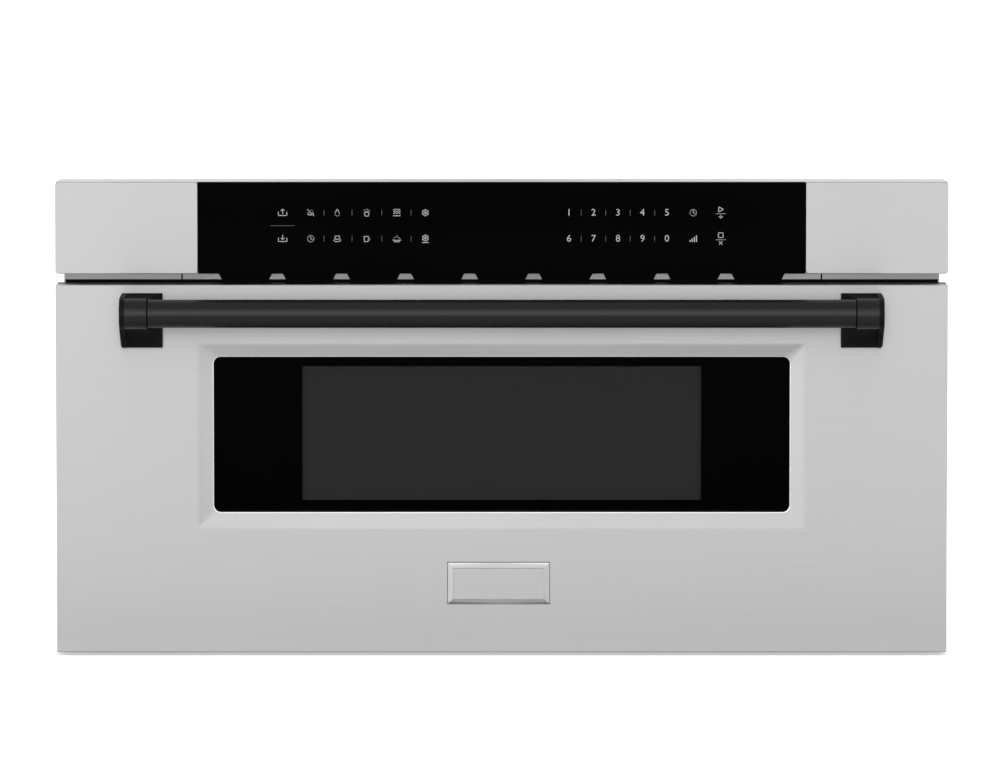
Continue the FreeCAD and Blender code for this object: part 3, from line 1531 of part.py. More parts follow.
def nodes():
    """Every node of the assembly by name."""
    right_arm = make_rail_arm()
    return {
        "base_pan": make_base_pan(),
        "cabinet_wrap": make_cabinet_wrap(),
        "rear_cover": make_rear_cover(),
        "front_frame": make_front_frame(),
        "vent_strip": make_vent_strip(),
        "cavity_liner": make_cavity_liner(),
        "outer_rail_right": make_outer_rail(),
        "outer_rail_left": mirrored(make_outer_rail()),
        "mid_rail_right": make_mid_rail(),
        "mid_rail_left": mirrored(make_mid_rail()),
        "inner_rail_right": make_inner_rail(),
        "inner_rail_left": mirrored(make_inner_rail()),
        "rail_mount_right": make_rail_mount(),
        "rail_mount_left": mirrored(make_rail_mount()),
        "rail_arm_right": right_arm,
        "rail_arm_left": mirrored(right_arm),
        "rack": make_rack(),
        "drive_gear": make_drive_gear(),
        "motor_pinion": make_motor_pinion(),
        "gear_shaft": make_gear_shaft(),
        "drive_bracket": make_drive_bracket(),
        "drive_motor": make_drive_motor(),
        "waveguide": make_waveguide(),
        "magnetron": make_magnetron(),
        "air_duct": make_air_duct(),
        "fan_shroud": make_fan_shroud(),
        "fan_motor": make_fan_motor(),
        "fan_rotor": make_fan_rotor(),
        "stirrer_motor": make_stirrer_motor(),
        "stirrer_blade": make_stirrer_blade(),
        "stirrer_cover": make_stirrer_cover(),
        "hv_transformer": make_hv_transformer(),
        "hv_capacitor": make_hv_capacitor(),
        "cavity_lamp": make_cavity_lamp(),
        "thermal_cutouts": make_thermal_cutouts(),
        "latch_prongs": make_latch_prongs(),
        "switch_bracket": make_switch_bracket(),
        "interlock_switches": make_interlock_switches(),
        "control_housing": make_control_housing(),
        "panel_cap_right": make_panel_cap(),
        "panel_cap_left": mirrored(make_panel_cap()),
        "touch_glass": make_touch_glass(),
        "control_board": make_control_board(),
        "display_module": make_display_module(),
        "filter_board": make_filter_board(),
        "power_gland": make_power_gland(),
        "chassis_screws": make_chassis_screws(),
        "drawer_skin": make_drawer_skin(),
        "inner_panel": make_inner_panel(),
        "choke_ring": make_choke_ring(),
        "choke_cover": make_choke_cover(),
        "window_glass": make_window_glass(),
        "window_screen": make_window_screen(),
        "inner_pane": make_inner_pane(),
        "handle_tube": make_handle_tube(),
        "handle_bracket_right": make_handle_bracket(),
        "handle_bracket_left": mirrored(make_handle_bracket()),
        "handle_screws": make_handle_screws(),
        "drawer_tub": make_drawer_tub(),
        "ceramic_plate": make_ceramic_plate(),
    }


def main():
    """Write one STEP file for each node."""
    os.makedirs("parts", exist_ok=True)
    for name, shape in nodes().items():
        shape.exportStep(os.path.join("parts", name + ".step"))
        box = shape.BoundBox
        print(name, len(shape.Solids), round(shape.Volume / 1000, 1), shape.isValid(),
              [round(v, 1) for v in (box.XMin, box.XMax, box.YMin, box.YMax, box.ZMin, box.ZMax)])


main()
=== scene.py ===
"""Dresses a built-in microwave drawer: its finishes, front, window, handle, panel marks, eased
edges, vents, screws and studio.

Metres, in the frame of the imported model: the drawer front faces -Y and +Z is up.
"""

import json
import math

import bmesh
import bpy
from bpy.props import FloatProperty, FloatVectorProperty, IntProperty, PointerProperty
from mathutils import Matrix, Vector

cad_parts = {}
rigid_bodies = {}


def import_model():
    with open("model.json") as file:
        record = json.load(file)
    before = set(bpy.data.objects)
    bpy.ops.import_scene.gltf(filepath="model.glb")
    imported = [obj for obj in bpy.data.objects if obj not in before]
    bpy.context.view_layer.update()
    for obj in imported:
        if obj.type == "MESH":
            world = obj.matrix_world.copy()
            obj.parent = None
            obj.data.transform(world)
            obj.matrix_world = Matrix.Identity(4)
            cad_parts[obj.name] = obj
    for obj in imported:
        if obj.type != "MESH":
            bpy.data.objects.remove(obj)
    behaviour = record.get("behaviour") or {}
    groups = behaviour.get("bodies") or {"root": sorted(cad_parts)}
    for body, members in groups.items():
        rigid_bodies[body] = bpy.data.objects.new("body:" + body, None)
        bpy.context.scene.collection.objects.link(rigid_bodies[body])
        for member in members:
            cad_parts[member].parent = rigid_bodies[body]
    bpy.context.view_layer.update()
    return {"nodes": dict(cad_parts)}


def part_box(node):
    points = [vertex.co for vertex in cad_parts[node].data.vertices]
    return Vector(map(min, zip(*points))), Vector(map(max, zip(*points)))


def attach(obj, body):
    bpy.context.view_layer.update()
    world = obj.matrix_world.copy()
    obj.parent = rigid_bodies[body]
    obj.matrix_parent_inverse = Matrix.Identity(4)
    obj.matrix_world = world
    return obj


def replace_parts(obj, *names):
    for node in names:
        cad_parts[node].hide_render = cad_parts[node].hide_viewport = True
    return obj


bl_info = {
    "name": "Microwave Drawer Dresser",
    "version": (1, 0, 0),
    "blender": (4, 5, 0),
    "location": "3D Viewport > Sidebar > Drawer",
    "description": "Adds finishes, trim, panel marks, vents, screws and a studio to a microwave drawer",
    "category": "Object",
}

for left_over in list(bpy.data.objects):
    bpy.data.objects.remove(left_over)
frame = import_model()

MM = 0.001
SKIN_LOW, SKIN_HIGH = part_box("drawer_skin")
PANE_LOW, PANE_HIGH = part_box("window_glass")
SCREEN_LOW, SCREEN_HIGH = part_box("window_screen")
TUBE_LOW, TUBE_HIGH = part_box("handle_tube")
GLASS_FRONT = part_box("touch_glass")[0].y

# The steel laps over the window glass, and its opening has round corners.
GLASS_LAP = 5 * MM
OPENING_HALF = PANE_HIGH.x - GLASS_LAP
OPENING_LOW, OPENING_HIGH = PANE_LOW.z + GLASS_LAP, PANE_HIGH.z - GLASS_LAP
OPENING_CORNER = 6 * MM


# ---- Settings --------------------------------------------------------------------------------

class DrawerFinish(bpy.types.PropertyGroup):
    """Colours and grain of the finishes."""

    steel: FloatVectorProperty(
        name="Stainless", description="Colour of the brushed stainless front", subtype="COLOR",
        default=(0.63, 0.63, 0.63), min=0.0, max=1.0)
    grain_length: FloatProperty(
        name="Grain Length", description="Length of one brush line", default=60 * MM,
        min=1 * MM, unit="LENGTH")
    grain_width: FloatProperty(
        name="Grain Width", description="Width of one brush line", default=0.5 * MM,
        min=0.05 * MM, unit="LENGTH")
    zinc: FloatVectorProperty(
        name="Zinc Sheet", description="Colour of the coated chassis sheet", subtype="COLOR",
        default=(0.47, 0.49, 0.50), min=0.0, max=1.0)
    handle: FloatVectorProperty(
        name="Handle", description="Colour of the handle's powder coat", subtype="COLOR",
        default=(0.007, 0.007, 0.0073), min=0.0, max=1.0)
    glass: FloatVectorProperty(
        name="Black Glass", description="Colour under the panel and window glass", subtype="COLOR",
        default=(0.0007, 0.0007, 0.0008), min=0.0, max=1.0)
    mark: FloatVectorProperty(
        name="Panel Marks", description="Colour of the marks on the touch panel", subtype="COLOR",
        default=(0.50, 0.50, 0.50), min=0.0, max=1.0)


class DrawerTrim(bpy.types.PropertyGroup):
    """Sizes of the pieces that the scene adds."""

    plate_width: FloatProperty(
        name="Plate Width", description="Width of the bare plate", default=87 * MM, unit="LENGTH")
    plate_height: FloatProperty(
        name="Plate Height", description="Height of the bare plate", default=35.6 * MM, unit="LENGTH")
    plate_centre: FloatVectorProperty(
        name="Plate Centre", description="Middle of the plate on the drawer front, across and up",
        size=2, default=(-2.7 * MM, 62.5 * MM), subtype="TRANSLATION")
    plate_bevel: FloatProperty(
        name="Plate Bevel", description="Width of the plate's sloped border", default=4.6 * MM,
        unit="LENGTH")
    plate_rise: FloatProperty(
        name="Plate Rise", description="How far the plate stands off the steel", default=1.9 * MM,
        unit="LENGTH")
    window_bevel: FloatVectorProperty(
        name="Window Bevel", description="Width of the slope beside, over and under the glass",
        size=3, default=(12.7 * MM, 11.0 * MM, 12.7 * MM), subtype="TRANSLATION")
    window_slope: FloatProperty(
        name="Window Slope Depth",
        description="Depth of the slope before the steel turns down to the glass",
        default=3.0 * MM, unit="LENGTH")
    steel_return: FloatProperty(
        name="Steel Return",
        description="How far the front's steel wraps back before the dark door frame",
        default=7.0 * MM, unit="LENGTH")
    cheek: FloatProperty(
        name="Bracket Cheek", description="Thickness of each handle bracket's outer cheek",
        default=4.7 * MM, unit="LENGTH")
    tube_sides: IntProperty(
        name="Tube Sides", description="Faces round the handle tube", default=96, min=24)
    mark_height: FloatProperty(
        name="Digit Height", description="Height of the panel's digits", default=5.9 * MM,
        unit="LENGTH")
    mark_stroke: FloatProperty(
        name="Mark Stroke", description="Line width of the panel's symbols", default=0.62 * MM,
        unit="LENGTH")


class DrawerStage(bpy.types.PropertyGroup):
    """Camera and light."""

    distance: FloatProperty(
        name="Distance", description="From the camera to the drawer front", default=8.0,
        min=1.0, unit="LENGTH")
    tilt: FloatProperty(
        name="Tilt", description="How far the camera looks down", default=math.radians(5.7),
        subtype="ANGLE")
    scale: FloatProperty(
        name="Frame Scale", description="Width of the view at the drawer front",
        default=0.8525, min=0.1, unit="LENGTH")
    aim: FloatVectorProperty(
        name="Aim", description="Point of the drawer front at the middle of the view, across and up",
        size=2, default=(-1.5 * MM, 233.4 * MM), subtype="TRANSLATION")
    floor: FloatVectorProperty(
        name="Floor", description="Colour of the floor", subtype="COLOR",
        default=(0.86, 0.86, 0.86), min=0.0, max=1.0)


# ---- Node helpers ----------------------------------------------------------------------------

def start_group(name, inputs, outputs):
    """Empty node group with its sockets, and its two end nodes."""
    group = bpy.data.node_groups.new(name, "ShaderNodeTree")
    for title, kind, default in inputs:
        item = group.interface.new_socket(name=title, in_out="INPUT", socket_type="NodeSocket" + kind)
        if default is not None:
            item.default_value = default
    for title, kind in outputs:
        group.interface.new_socket(name=title, in_out="OUTPUT", socket_type="NodeSocket" + kind)
    return group, group.nodes.new("NodeGroupInput"), group.nodes.new("NodeGroupOutput")


def add(tree, kind, feeds=None, **settings):
    """New node with its settings, whose inputs are fed with outputs of other nodes or with values."""
    node = tree.nodes.new("ShaderNode" + kind)
    for key, value in settings.items():
        setattr(node, key, value)
    for title, value in (feeds or {}).items():
        if isinstance(value, bpy.types.NodeSocket):
            tree.links.new(value, node.inputs[title])
        else:
            node.inputs[title].default_value = value
    return node


def math_node(tree, operation, first, second=None):
    """Math node on outputs or numbers; gives its output."""
    feeds = {0: first} if second is None else {0: first, 1: second}
    return add(tree, "Math", feeds, operation=operation).outputs[0]


def map_range(tree, value, low, high, out_low, out_high, smooth=False):
    """Map Range node on outputs or numbers; gives its result."""
    feeds = {"Value": value, "From Min": low, "From Max": high, "To Min": out_low, "To Max": out_high}
    return add(tree, "MapRange", feeds,
               interpolation_type="SMOOTHSTEP" if smooth else "LINEAR").outputs["Result"]


def switched(tree, mask, off, on):
    """One value where a mask is 0, and another where it is 1."""
    return map_range(tree, mask, 0.0, 1.0, off, on)


def varied(tree, base, change, share):
    """Base value plus a share of a change."""
    return math_node(tree, "ADD", math_node(tree, "MULTIPLY", change, share), base)


def mixed(tree, factor, first, second, blend="MIX"):
    """Two colours mixed or multiplied by a factor."""
    feeds = {"Factor": factor, "A": first, "B": second}
    return add(tree, "Mix", feeds, data_type="RGBA", blend_type=blend).outputs["Result"]


def shaded(tree, colour, tone):
    """Colour times a grey tone."""
    return mixed(tree, 1.0, colour, tone, "MULTIPLY")


def opaque(colour):
    """Colour with full alpha."""
    return (*tuple(colour)[:3], 1.0)


def split(tree, vector):
    """X, Y and Z of a vector."""
    return add(tree, "SeparateXYZ", {0: vector}).outputs


def noise(tree, vector, scale, detail=3.0, roughness=0.55):
    """Noise texture; gives its value between 0 and 1."""
    feeds = {"Vector": vector, "Scale": scale, "Detail": detail, "Roughness": roughness}
    return add(tree, "TexNoise", feeds).outputs["Fac"]


# ---- Shared effects --------------------------------------------------------------------------

FINISH_OUTPUTS = (("Colour", "Color"), ("Roughness", "Float"), ("Height", "Float"))


def uneven(group, first, second, share):
    """Two values from 0 to 1 added as one that lies round 0, with a share of the second."""
    first, second = (math_node(group, "SUBTRACT", value, 0.5) for value in (first, second))
    return varied(group, first, second, share)


def end_finish(group, start, end, change, spread, height):
    """Ends a finish group: its tone and gloss follow one change, and its bump has a height."""
    given = start.outputs
    tone = varied(group, 1.0, change, given["Tone"])
    group.links.new(shaded(group, given["Colour"], tone), end.inputs["Colour"])
    group.links.new(varied(group, given["Gloss"], change, spread), end.inputs["Roughness"])
    group.links.new(height, end.inputs["Height"])
    return group


def brushed_group():
    """Straight brush lines along one axis, over a slow unevenness of the sheet."""
    group, start, end = start_group(
        "Brushed Grain",
        [("Vector", "Vector", None), ("Colour", "Color", (0.6, 0.6, 0.6, 1)), ("Length", "Float", 60 * MM),
         ("Width", "Float", 0.5 * MM), ("Tone", "Float", 0.05), ("Gloss", "Float", 0.3)], FINISH_OUTPUTS)
    place = start.outputs["Vector"]
    along, across = (math_node(group, "DIVIDE", 1.0, start.outputs[title])
                     for title in ("Length", "Width"))
    scale = add(group, "CombineXYZ", {0: along, 1: across, 2: across})
    stretch = add(group, "VectorMath", {0: place, 1: scale.outputs[0]}, operation="MULTIPLY")
    lines = noise(group, stretch.outputs[0], 1.0, 2.0, 0.7)
    change = uneven(group, lines, noise(group, place, 5.0, 2.0), 1.2)
    return end_finish(group, start, end, change, 0.12, lines)


def textured_group():
    """Fine even texture of powder coat, moulded plastic or glaze, with a slow tone change."""
    group, start, end = start_group(
        "Fine Texture",
        [("Vector", "Vector", None), ("Colour", "Color", (0.1, 0.1, 0.1, 1)), ("Size", "Float", 1 * MM),
         ("Tone", "Float", 0.1), ("Gloss", "Float", 0.5), ("Gloss Spread", "Float", 0.1)], FINISH_OUTPUTS)
    place = start.outputs["Vector"]
    fine = noise(group, place, math_node(group, "DIVIDE", 1.0, start.outputs["Size"]))
    change = uneven(group, fine, noise(group, place, 14.0), 1.0)
    return end_finish(group, start, end, change, start.outputs["Gloss Spread"], fine)


def spangle_group():
    """Crystal pattern of hot-dip zinc."""
    group, start, end = start_group(
        "Zinc Spangle",
        [("Vector", "Vector", None), ("Colour", "Color", (0.5, 0.5, 0.5, 1)), ("Size", "Float", 8 * MM),
         ("Tone", "Float", 0.16), ("Gloss", "Float", 0.38)], FINISH_OUTPUTS)
    place = start.outputs["Vector"]
    wobble = add(group, "TexNoise", {"Vector": place, "Scale": 90.0}).outputs["Color"]
    bend = 4 * MM
    bent = add(group, "VectorMath", {0: wobble, 1: (bend, bend, bend), 2: place},
               operation="MULTIPLY_ADD").outputs[0]
    scale = math_node(group, "DIVIDE", 1.0, start.outputs["Size"])
    cells = add(group, "TexVoronoi", {"Vector": bent, "Scale": scale}, feature="F1")
    grey = add(group, "RGBToBW", {0: cells.outputs["Color"]}).outputs[0]
    fine = noise(group, bent, 900.0, 2.0)
    return end_finish(group, start, end, uneven(group, grey, fine, 0.4), 0.22, fine)


def from_middle(tree, value, shift):
    """How far a value lies from the middle of its cell, with cells one wide that are shifted."""
    cell = math_node(tree, "FRACT", math_node(tree, "ADD", value, shift))
    return math_node(tree, "SUBTRACT", cell, 0.5)


def hole_group():
    """Staggered round holes of a perforated sheet: 1 in a hole, 0 on the metal."""
    group, start, end = start_group(
        "Perforation",
        [("Vector", "Vector", None), ("Pitch", "Float", 2.6 * MM), ("Radius", "Float", 0.36)],
        [("Hole", "Float")])
    place, pitch = split(group, start.outputs["Vector"]), start.outputs["Pitch"]
    row_ratio = math.sqrt(3)
    soft_edge = 0.03
    across = math_node(group, "DIVIDE", place["X"], pitch)
    up = math_node(group, "DIVIDE", place["Z"], math_node(group, "MULTIPLY", pitch, row_ratio))
    distances = []
    for shift in (0.0, 0.5):
        dx = from_middle(group, across, shift)
        dz = math_node(group, "MULTIPLY", from_middle(group, up, shift), row_ratio)
        squares = [math_node(group, "MULTIPLY", part, part) for part in (dx, dz)]
        distances.append(math_node(group, "SQRT", math_node(group, "ADD", *squares)))
    nearest = math_node(group, "MINIMUM", *distances)
    inside = math_node(group, "SUBTRACT", start.outputs["Radius"], nearest)
    group.links.new(map_range(group, inside, -soft_edge, soft_edge, 0.0, 1.0), end.inputs["Hole"])
    return group


# ---- Materials -------------------------------------------------------------------------------

GLASS_SPECULAR = 0.016


def start_material(name, metallic=0.0, roughness=0.5, level=0.5, **extra):
    """Material with its Principled shader and object coordinates."""
    material = bpy.data.materials.new(name)
    material.use_nodes = True
    tree = material.node_tree
    shader = tree.nodes["Principled BSDF"]
    values = {"Metallic": metallic, "Roughness": roughness, "Specular_IOR_Level": level, **extra}
    for title, value in values.items():
        shader.inputs[title.replace("_", " ")].default_value = value
    return material, tree, shader, add(tree, "TexCoord").outputs["Object"]


def use_group(tree, group, place, **values):
    """Group node fed with object coordinates and its own values; gives its outputs."""
    feeds = {title.replace("_", " "): value for title, value in values.items()}
    return add(tree, "Group", {"Vector": place, **feeds}, node_tree=group).outputs


def raise_surface(tree, shader, height, depth):
    """Bump from a height between 0 and 1, of a real depth in metres."""
    bump = add(tree, "Bump", {"Distance": depth, "Strength": 1.0, "Height": height})
    tree.links.new(bump.outputs[0], shader.inputs["Normal"])


def finish_from(tree, shader, group, place, depth, colour, **values):
    """Colour, roughness and bump of a shader from a finish group."""
    effect = use_group(tree, group, place, Colour=opaque(colour), **values)
    tree.links.new(effect["Colour"], shader.inputs["Base Color"])
    tree.links.new(effect["Roughness"], shader.inputs["Roughness"])
    raise_surface(tree, shader, effect["Height"], depth)


def brushed(name, group, colour, gloss, length, width, tone):
    """Brushed steel whose lines run across."""
    material, tree, shader, place = start_material(name, metallic=1.0, Anisotropic=0.85,
                                                   Anisotropic_Rotation=0.25)
    finish_from(tree, shader, group, place, 0.004 * MM, colour, Length=length, Width=width, Tone=tone,
                Gloss=gloss)
    return material


def textured(name, group, colour, gloss, size, tone, depth, metallic=0.0, level=0.5):
    """Evenly textured finish: powder coat, moulded plastic, glaze or cast metal."""
    material, tree, shader, place = start_material(name, metallic=metallic, level=level)
    finish_from(tree, shader, group, place, depth, colour, Size=size, Tone=tone, Gloss=gloss)
    return material


def zinc(name, group, colour, size, gloss):
    """Zinc-coated sheet."""
    material, tree, shader, place = start_material(name, metallic=1.0)
    finish_from(tree, shader, group, place, 0.003 * MM, colour, Size=size, Gloss=gloss)
    return material


def layered(name, colour, pitch, axis):
    """Varnished steel sheets stacked along an axis."""
    material, tree, shader, place = start_material(name, metallic=0.6)
    wave = math_node(tree, "PINGPONG", math_node(tree, "DIVIDE", split(tree, place)[axis], pitch), 0.5)
    spots = math_node(tree, "MULTIPLY", noise(tree, place, 120.0), 0.8)
    tone = varied(tree, spots, wave, 0.9)
    tree.links.new(shaded(tree, opaque(colour), tone), shader.inputs["Base Color"])
    raise_surface(tree, shader, wave, 0.1 * MM)
    return material


def black_glass(name, colour):
    """Polished glass over black print, with the faintest wipe marks in its gloss."""
    material, tree, shader, place = start_material(name, level=GLASS_SPECULAR)
    wipes = noise(tree, place, 6.0, 4.0)
    tree.links.new(map_range(tree, wipes, 0.3, 0.8, 0.03, 0.09), shader.inputs["Roughness"])
    tone = map_range(tree, wipes, 0.2, 0.8, 0.8, 1.6)
    tree.links.new(shaded(tree, opaque(colour), tone), shader.inputs["Base Color"])
    return material


def window_glass(name, colour, half_width, low, high):
    """Window pane: solid black print at its border, and dark see-through glass in the middle."""
    material, tree, shader, place = start_material(name, roughness=0.04, level=GLASS_SPECULAR,
                                                   Base_Color=opaque(colour))
    place = split(tree, place)
    edge, clear = 0.2 * MM, 0.22
    side = math_node(tree, "SUBTRACT", math_node(tree, "ABSOLUTE", place["X"]), half_width)
    over = math_node(tree, "SUBTRACT", place["Z"], high)
    under = math_node(tree, "SUBTRACT", low, place["Z"])
    outside = math_node(tree, "MAXIMUM", side, math_node(tree, "MAXIMUM", over, under))
    tree.links.new(map_range(tree, outside, -edge, edge, clear, 1.0), shader.inputs["Alpha"])
    return material


def perforated(name, group, metal, hole, pitch, level=0.5):
    """Black perforated sheet: dull metal round dark holes."""
    material, tree, shader, place = start_material(name, roughness=0.45, level=level)
    mask = use_group(tree, group, place, Pitch=pitch)["Hole"]
    tree.links.new(mixed(tree, mask, opaque(metal), opaque(hole)), shader.inputs["Base Color"])
    return material


def circuit_board(name):
    """Green board with paler tracks and solder points."""
    material, tree, shader, place = start_material(name, roughness=0.3)
    level = add(tree, "Mapping", {"Vector": place, "Rotation": (math.pi / 2, 0, 0)}).outputs[0]
    tracks = add(tree, "TexBrick", {
        "Vector": level, "Scale": 55.0, "Mortar Size": 0.03, "Color1": (0.012, 0.075, 0.03, 1),
        "Color2": (0.016, 0.09, 0.036, 1), "Mortar": (0.05, 0.2, 0.08, 1)}, offset=0.5, squash=0.6)
    dots = add(tree, "TexVoronoi", {"Vector": place, "Scale": 190.0}, feature="F1")
    solder = map_range(tree, dots.outputs["Distance"], 0.14, 0.2, 1.0, 0.0)
    colour = mixed(tree, solder, tracks.outputs["Color"], (0.45, 0.45, 0.42, 1))
    tree.links.new(colour, shader.inputs["Base Color"])
    raise_surface(tree, shader, solder, 0.3 * MM)
    return material


def panel_ink(name, colour):
    """Printed ink with a faint wear."""
    material, tree, shader, place = start_material(name, roughness=0.6)
    wear = switched(tree, noise(tree, place, 700.0), 0.85, 1.15)
    tree.links.new(shaded(tree, opaque(colour), wear), shader.inputs["Base Color"])
    return material


# ---- Mesh helpers ----------------------------------------------------------------------------

QUARTER = math.pi / 2


def new_piece(name, bm, material, body, smooth=None):
    """Object from a bmesh, with its material, riding on a body of the model."""
    bmesh.ops.recalc_face_normals(bm, faces=bm.faces)
    mesh = bpy.data.meshes.new(name)
    bm.to_mesh(mesh)
    bm.free()
    piece = bpy.data.objects.new(name, mesh)
    bpy.context.scene.collection.objects.link(piece)
    mesh.materials.append(material)
    if smooth is not None:
        mesh.shade_smooth()
        mesh.set_sharp_from_angle(angle=math.radians(smooth))
        even = piece.modifiers.new("Even Shading", "WEIGHTED_NORMAL")
        even.keep_sharp = True
        even.weight = 100
    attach(piece, body)
    return piece


def dress(material, *nodes):
    """Gives a material to CAD nodes."""
    for node in nodes:
        for slot in frame["nodes"][node].material_slots:
            slot.material = material


def merged_copy(node):
    """The node's mesh as one joined bmesh with its flat faces whole."""
    bm = bmesh.new()
    bm.from_mesh(frame["nodes"][node].data)
    bmesh.ops.remove_doubles(bm, verts=bm.verts, dist=0.001 * MM)
    bmesh.ops.dissolve_limit(bm, angle_limit=math.radians(0.5), verts=bm.verts, edges=bm.edges)
    return bm


def solid_boxes(node):
    """Lowest and highest corner of each separate solid of a CAD node."""
    bm = merged_copy(node)
    left = set(bm.verts)
    boxes = []
    while left:
        island = set()
        todo = [left.pop()]
        while todo:
            vert = todo.pop()
            island.add(vert)
            for edge in vert.link_edges:
                other = edge.other_vert(vert)
                if other in left:
                    left.remove(other)
                    todo.append(other)
        boxes.append([Vector(pick(v.co[i] for v in island) for i in range(3)) for pick in (min, max)])
    bm.free()
    return boxes


def bevelled(bm, geometry, width, segments, affect="EDGES", slide=True):
    """Bevels edges or corners by a width; gives what that made."""
    return bmesh.ops.bevel(bm, geom=geometry, offset=width, offset_type="OFFSET", segments=segments,
                           profile=0.5, affect=affect, clamp_overlap=True, loop_slide=slide, material=-1)


def rounded_edges(bm, width, angle):
    """Rounds every edge that turns by more than an angle."""
    sharp = [e for e in bm.edges
             if len(e.link_faces) == 2 and e.calc_face_angle() > math.radians(angle)]
    bevelled(bm, sharp, width, 2)


def put(bm, verts, turn, place):
    """Turns vertices round the origin, then moves them to a place."""
    bmesh.ops.rotate(bm, cent=(0, 0, 0), matrix=turn, verts=verts)
    bmesh.ops.translate(bm, vec=place, verts=verts)


def block(bm, low, high):
    """Box between two corners; gives its vertices."""
    made = bmesh.ops.create_cube(bm, size=1.0)["verts"]
    low, high = Vector(low), Vector(high)
    bmesh.ops.scale(bm, vec=high - low, verts=made)
    bmesh.ops.translate(bm, vec=(low + high) / 2, verts=made)
    return made


def disc(bm, sides, foot, top, depth):
    """Round or many-sided bar along Z with two radii; gives its vertices."""
    return bmesh.ops.create_cone(bm, cap_ends=True, segments=sides, radius1=foot, radius2=top,
                                 depth=depth)["verts"]


def spun(bm, profile, centre, steps):
    """Closed profile of points in the XZ plane, turned once round the X axis and moved to a centre."""
    face = bm.faces.new([bm.verts.new(point) for point in profile])
    made = bmesh.ops.spin(bm, geom=list(face.verts) + list(face.edges) + [face], cent=(0, 0, 0),
                          axis=(1, 0, 0), angle=2 * math.pi, steps=steps, use_merge=True)
    loose = [f for f in bm.faces if f in made["geom_last"] or f is face]
    bmesh.ops.delete(bm, geom=[f for f in loose if f.is_valid], context="FACES_ONLY")
    bmesh.ops.translate(bm, vec=centre, verts=bm.verts)


def loop(bm, half_width, low, high, corner, y):
    """Rounded rectangle that faces the front; gives its edges."""
    made = bmesh.ops.create_grid(bm, x_segments=1, y_segments=1, size=0.5)["verts"]
    bmesh.ops.scale(bm, vec=(2 * half_width, high - low, 1.0), verts=made)
    put(bm, made, Matrix.Rotation(QUARTER, 3, "X"), (0, y, (low + high) / 2))
    corners = bevelled(bm, made, corner, 8, "VERTICES", slide=False)
    face = corners["verts"][0].link_faces[0]
    edges = list(face.edges)
    bmesh.ops.delete(bm, geom=[face], context="FACES_ONLY")
    return edges


def bridged(bm, rings):
    """Joins each ring of edges to the next."""
    for outer, inner in zip(rings, rings[1:]):
        bmesh.ops.bridge_loops(bm, edges=outer + inner)


def round_box(bm, low, high, corner, ease):
    """Plate that faces the front, with round corners and a softened front edge."""
    made = block(bm, low, high)
    upright = {e for v in made for e in v.link_edges
               if abs(e.verts[0].co.y - e.verts[1].co.y) > 0.1 * MM}
    bevelled(bm, list(upright), corner, 6)
    rim = [e for e in bm.edges if len(e.link_faces) == 2
           and all(abs(v.co.y - low[1]) < 0.01 * MM for v in e.verts)]
    bevelled(bm, rim, ease, 3)


def soft_blocks(name, boxes, ease, material, body):
    """Piece made of one or more blocks with eased edges."""
    bm = bmesh.new()
    for low, high in boxes:
        block(bm, low, high)
    rounded_edges(bm, ease, 30)
    new_piece(name, bm, material, body, smooth=40)


def soft_copy(node, name, material, body, width):
    """Copy of a CAD node with eased edges, held in the node's box, which takes the node's place."""
    bm = merged_copy(node)
    rounded_edges(bm, width, 30)
    low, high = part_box(node)
    for vert in bm.verts:
        vert.co = [min(max(value, least), most) for value, least, most in zip(vert.co, low, high)]
    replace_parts(new_piece(name, bm, material, body, smooth=35), node)


# ---- Operators: finishes ---------------------------------------------------------------------

FINISHES = {}


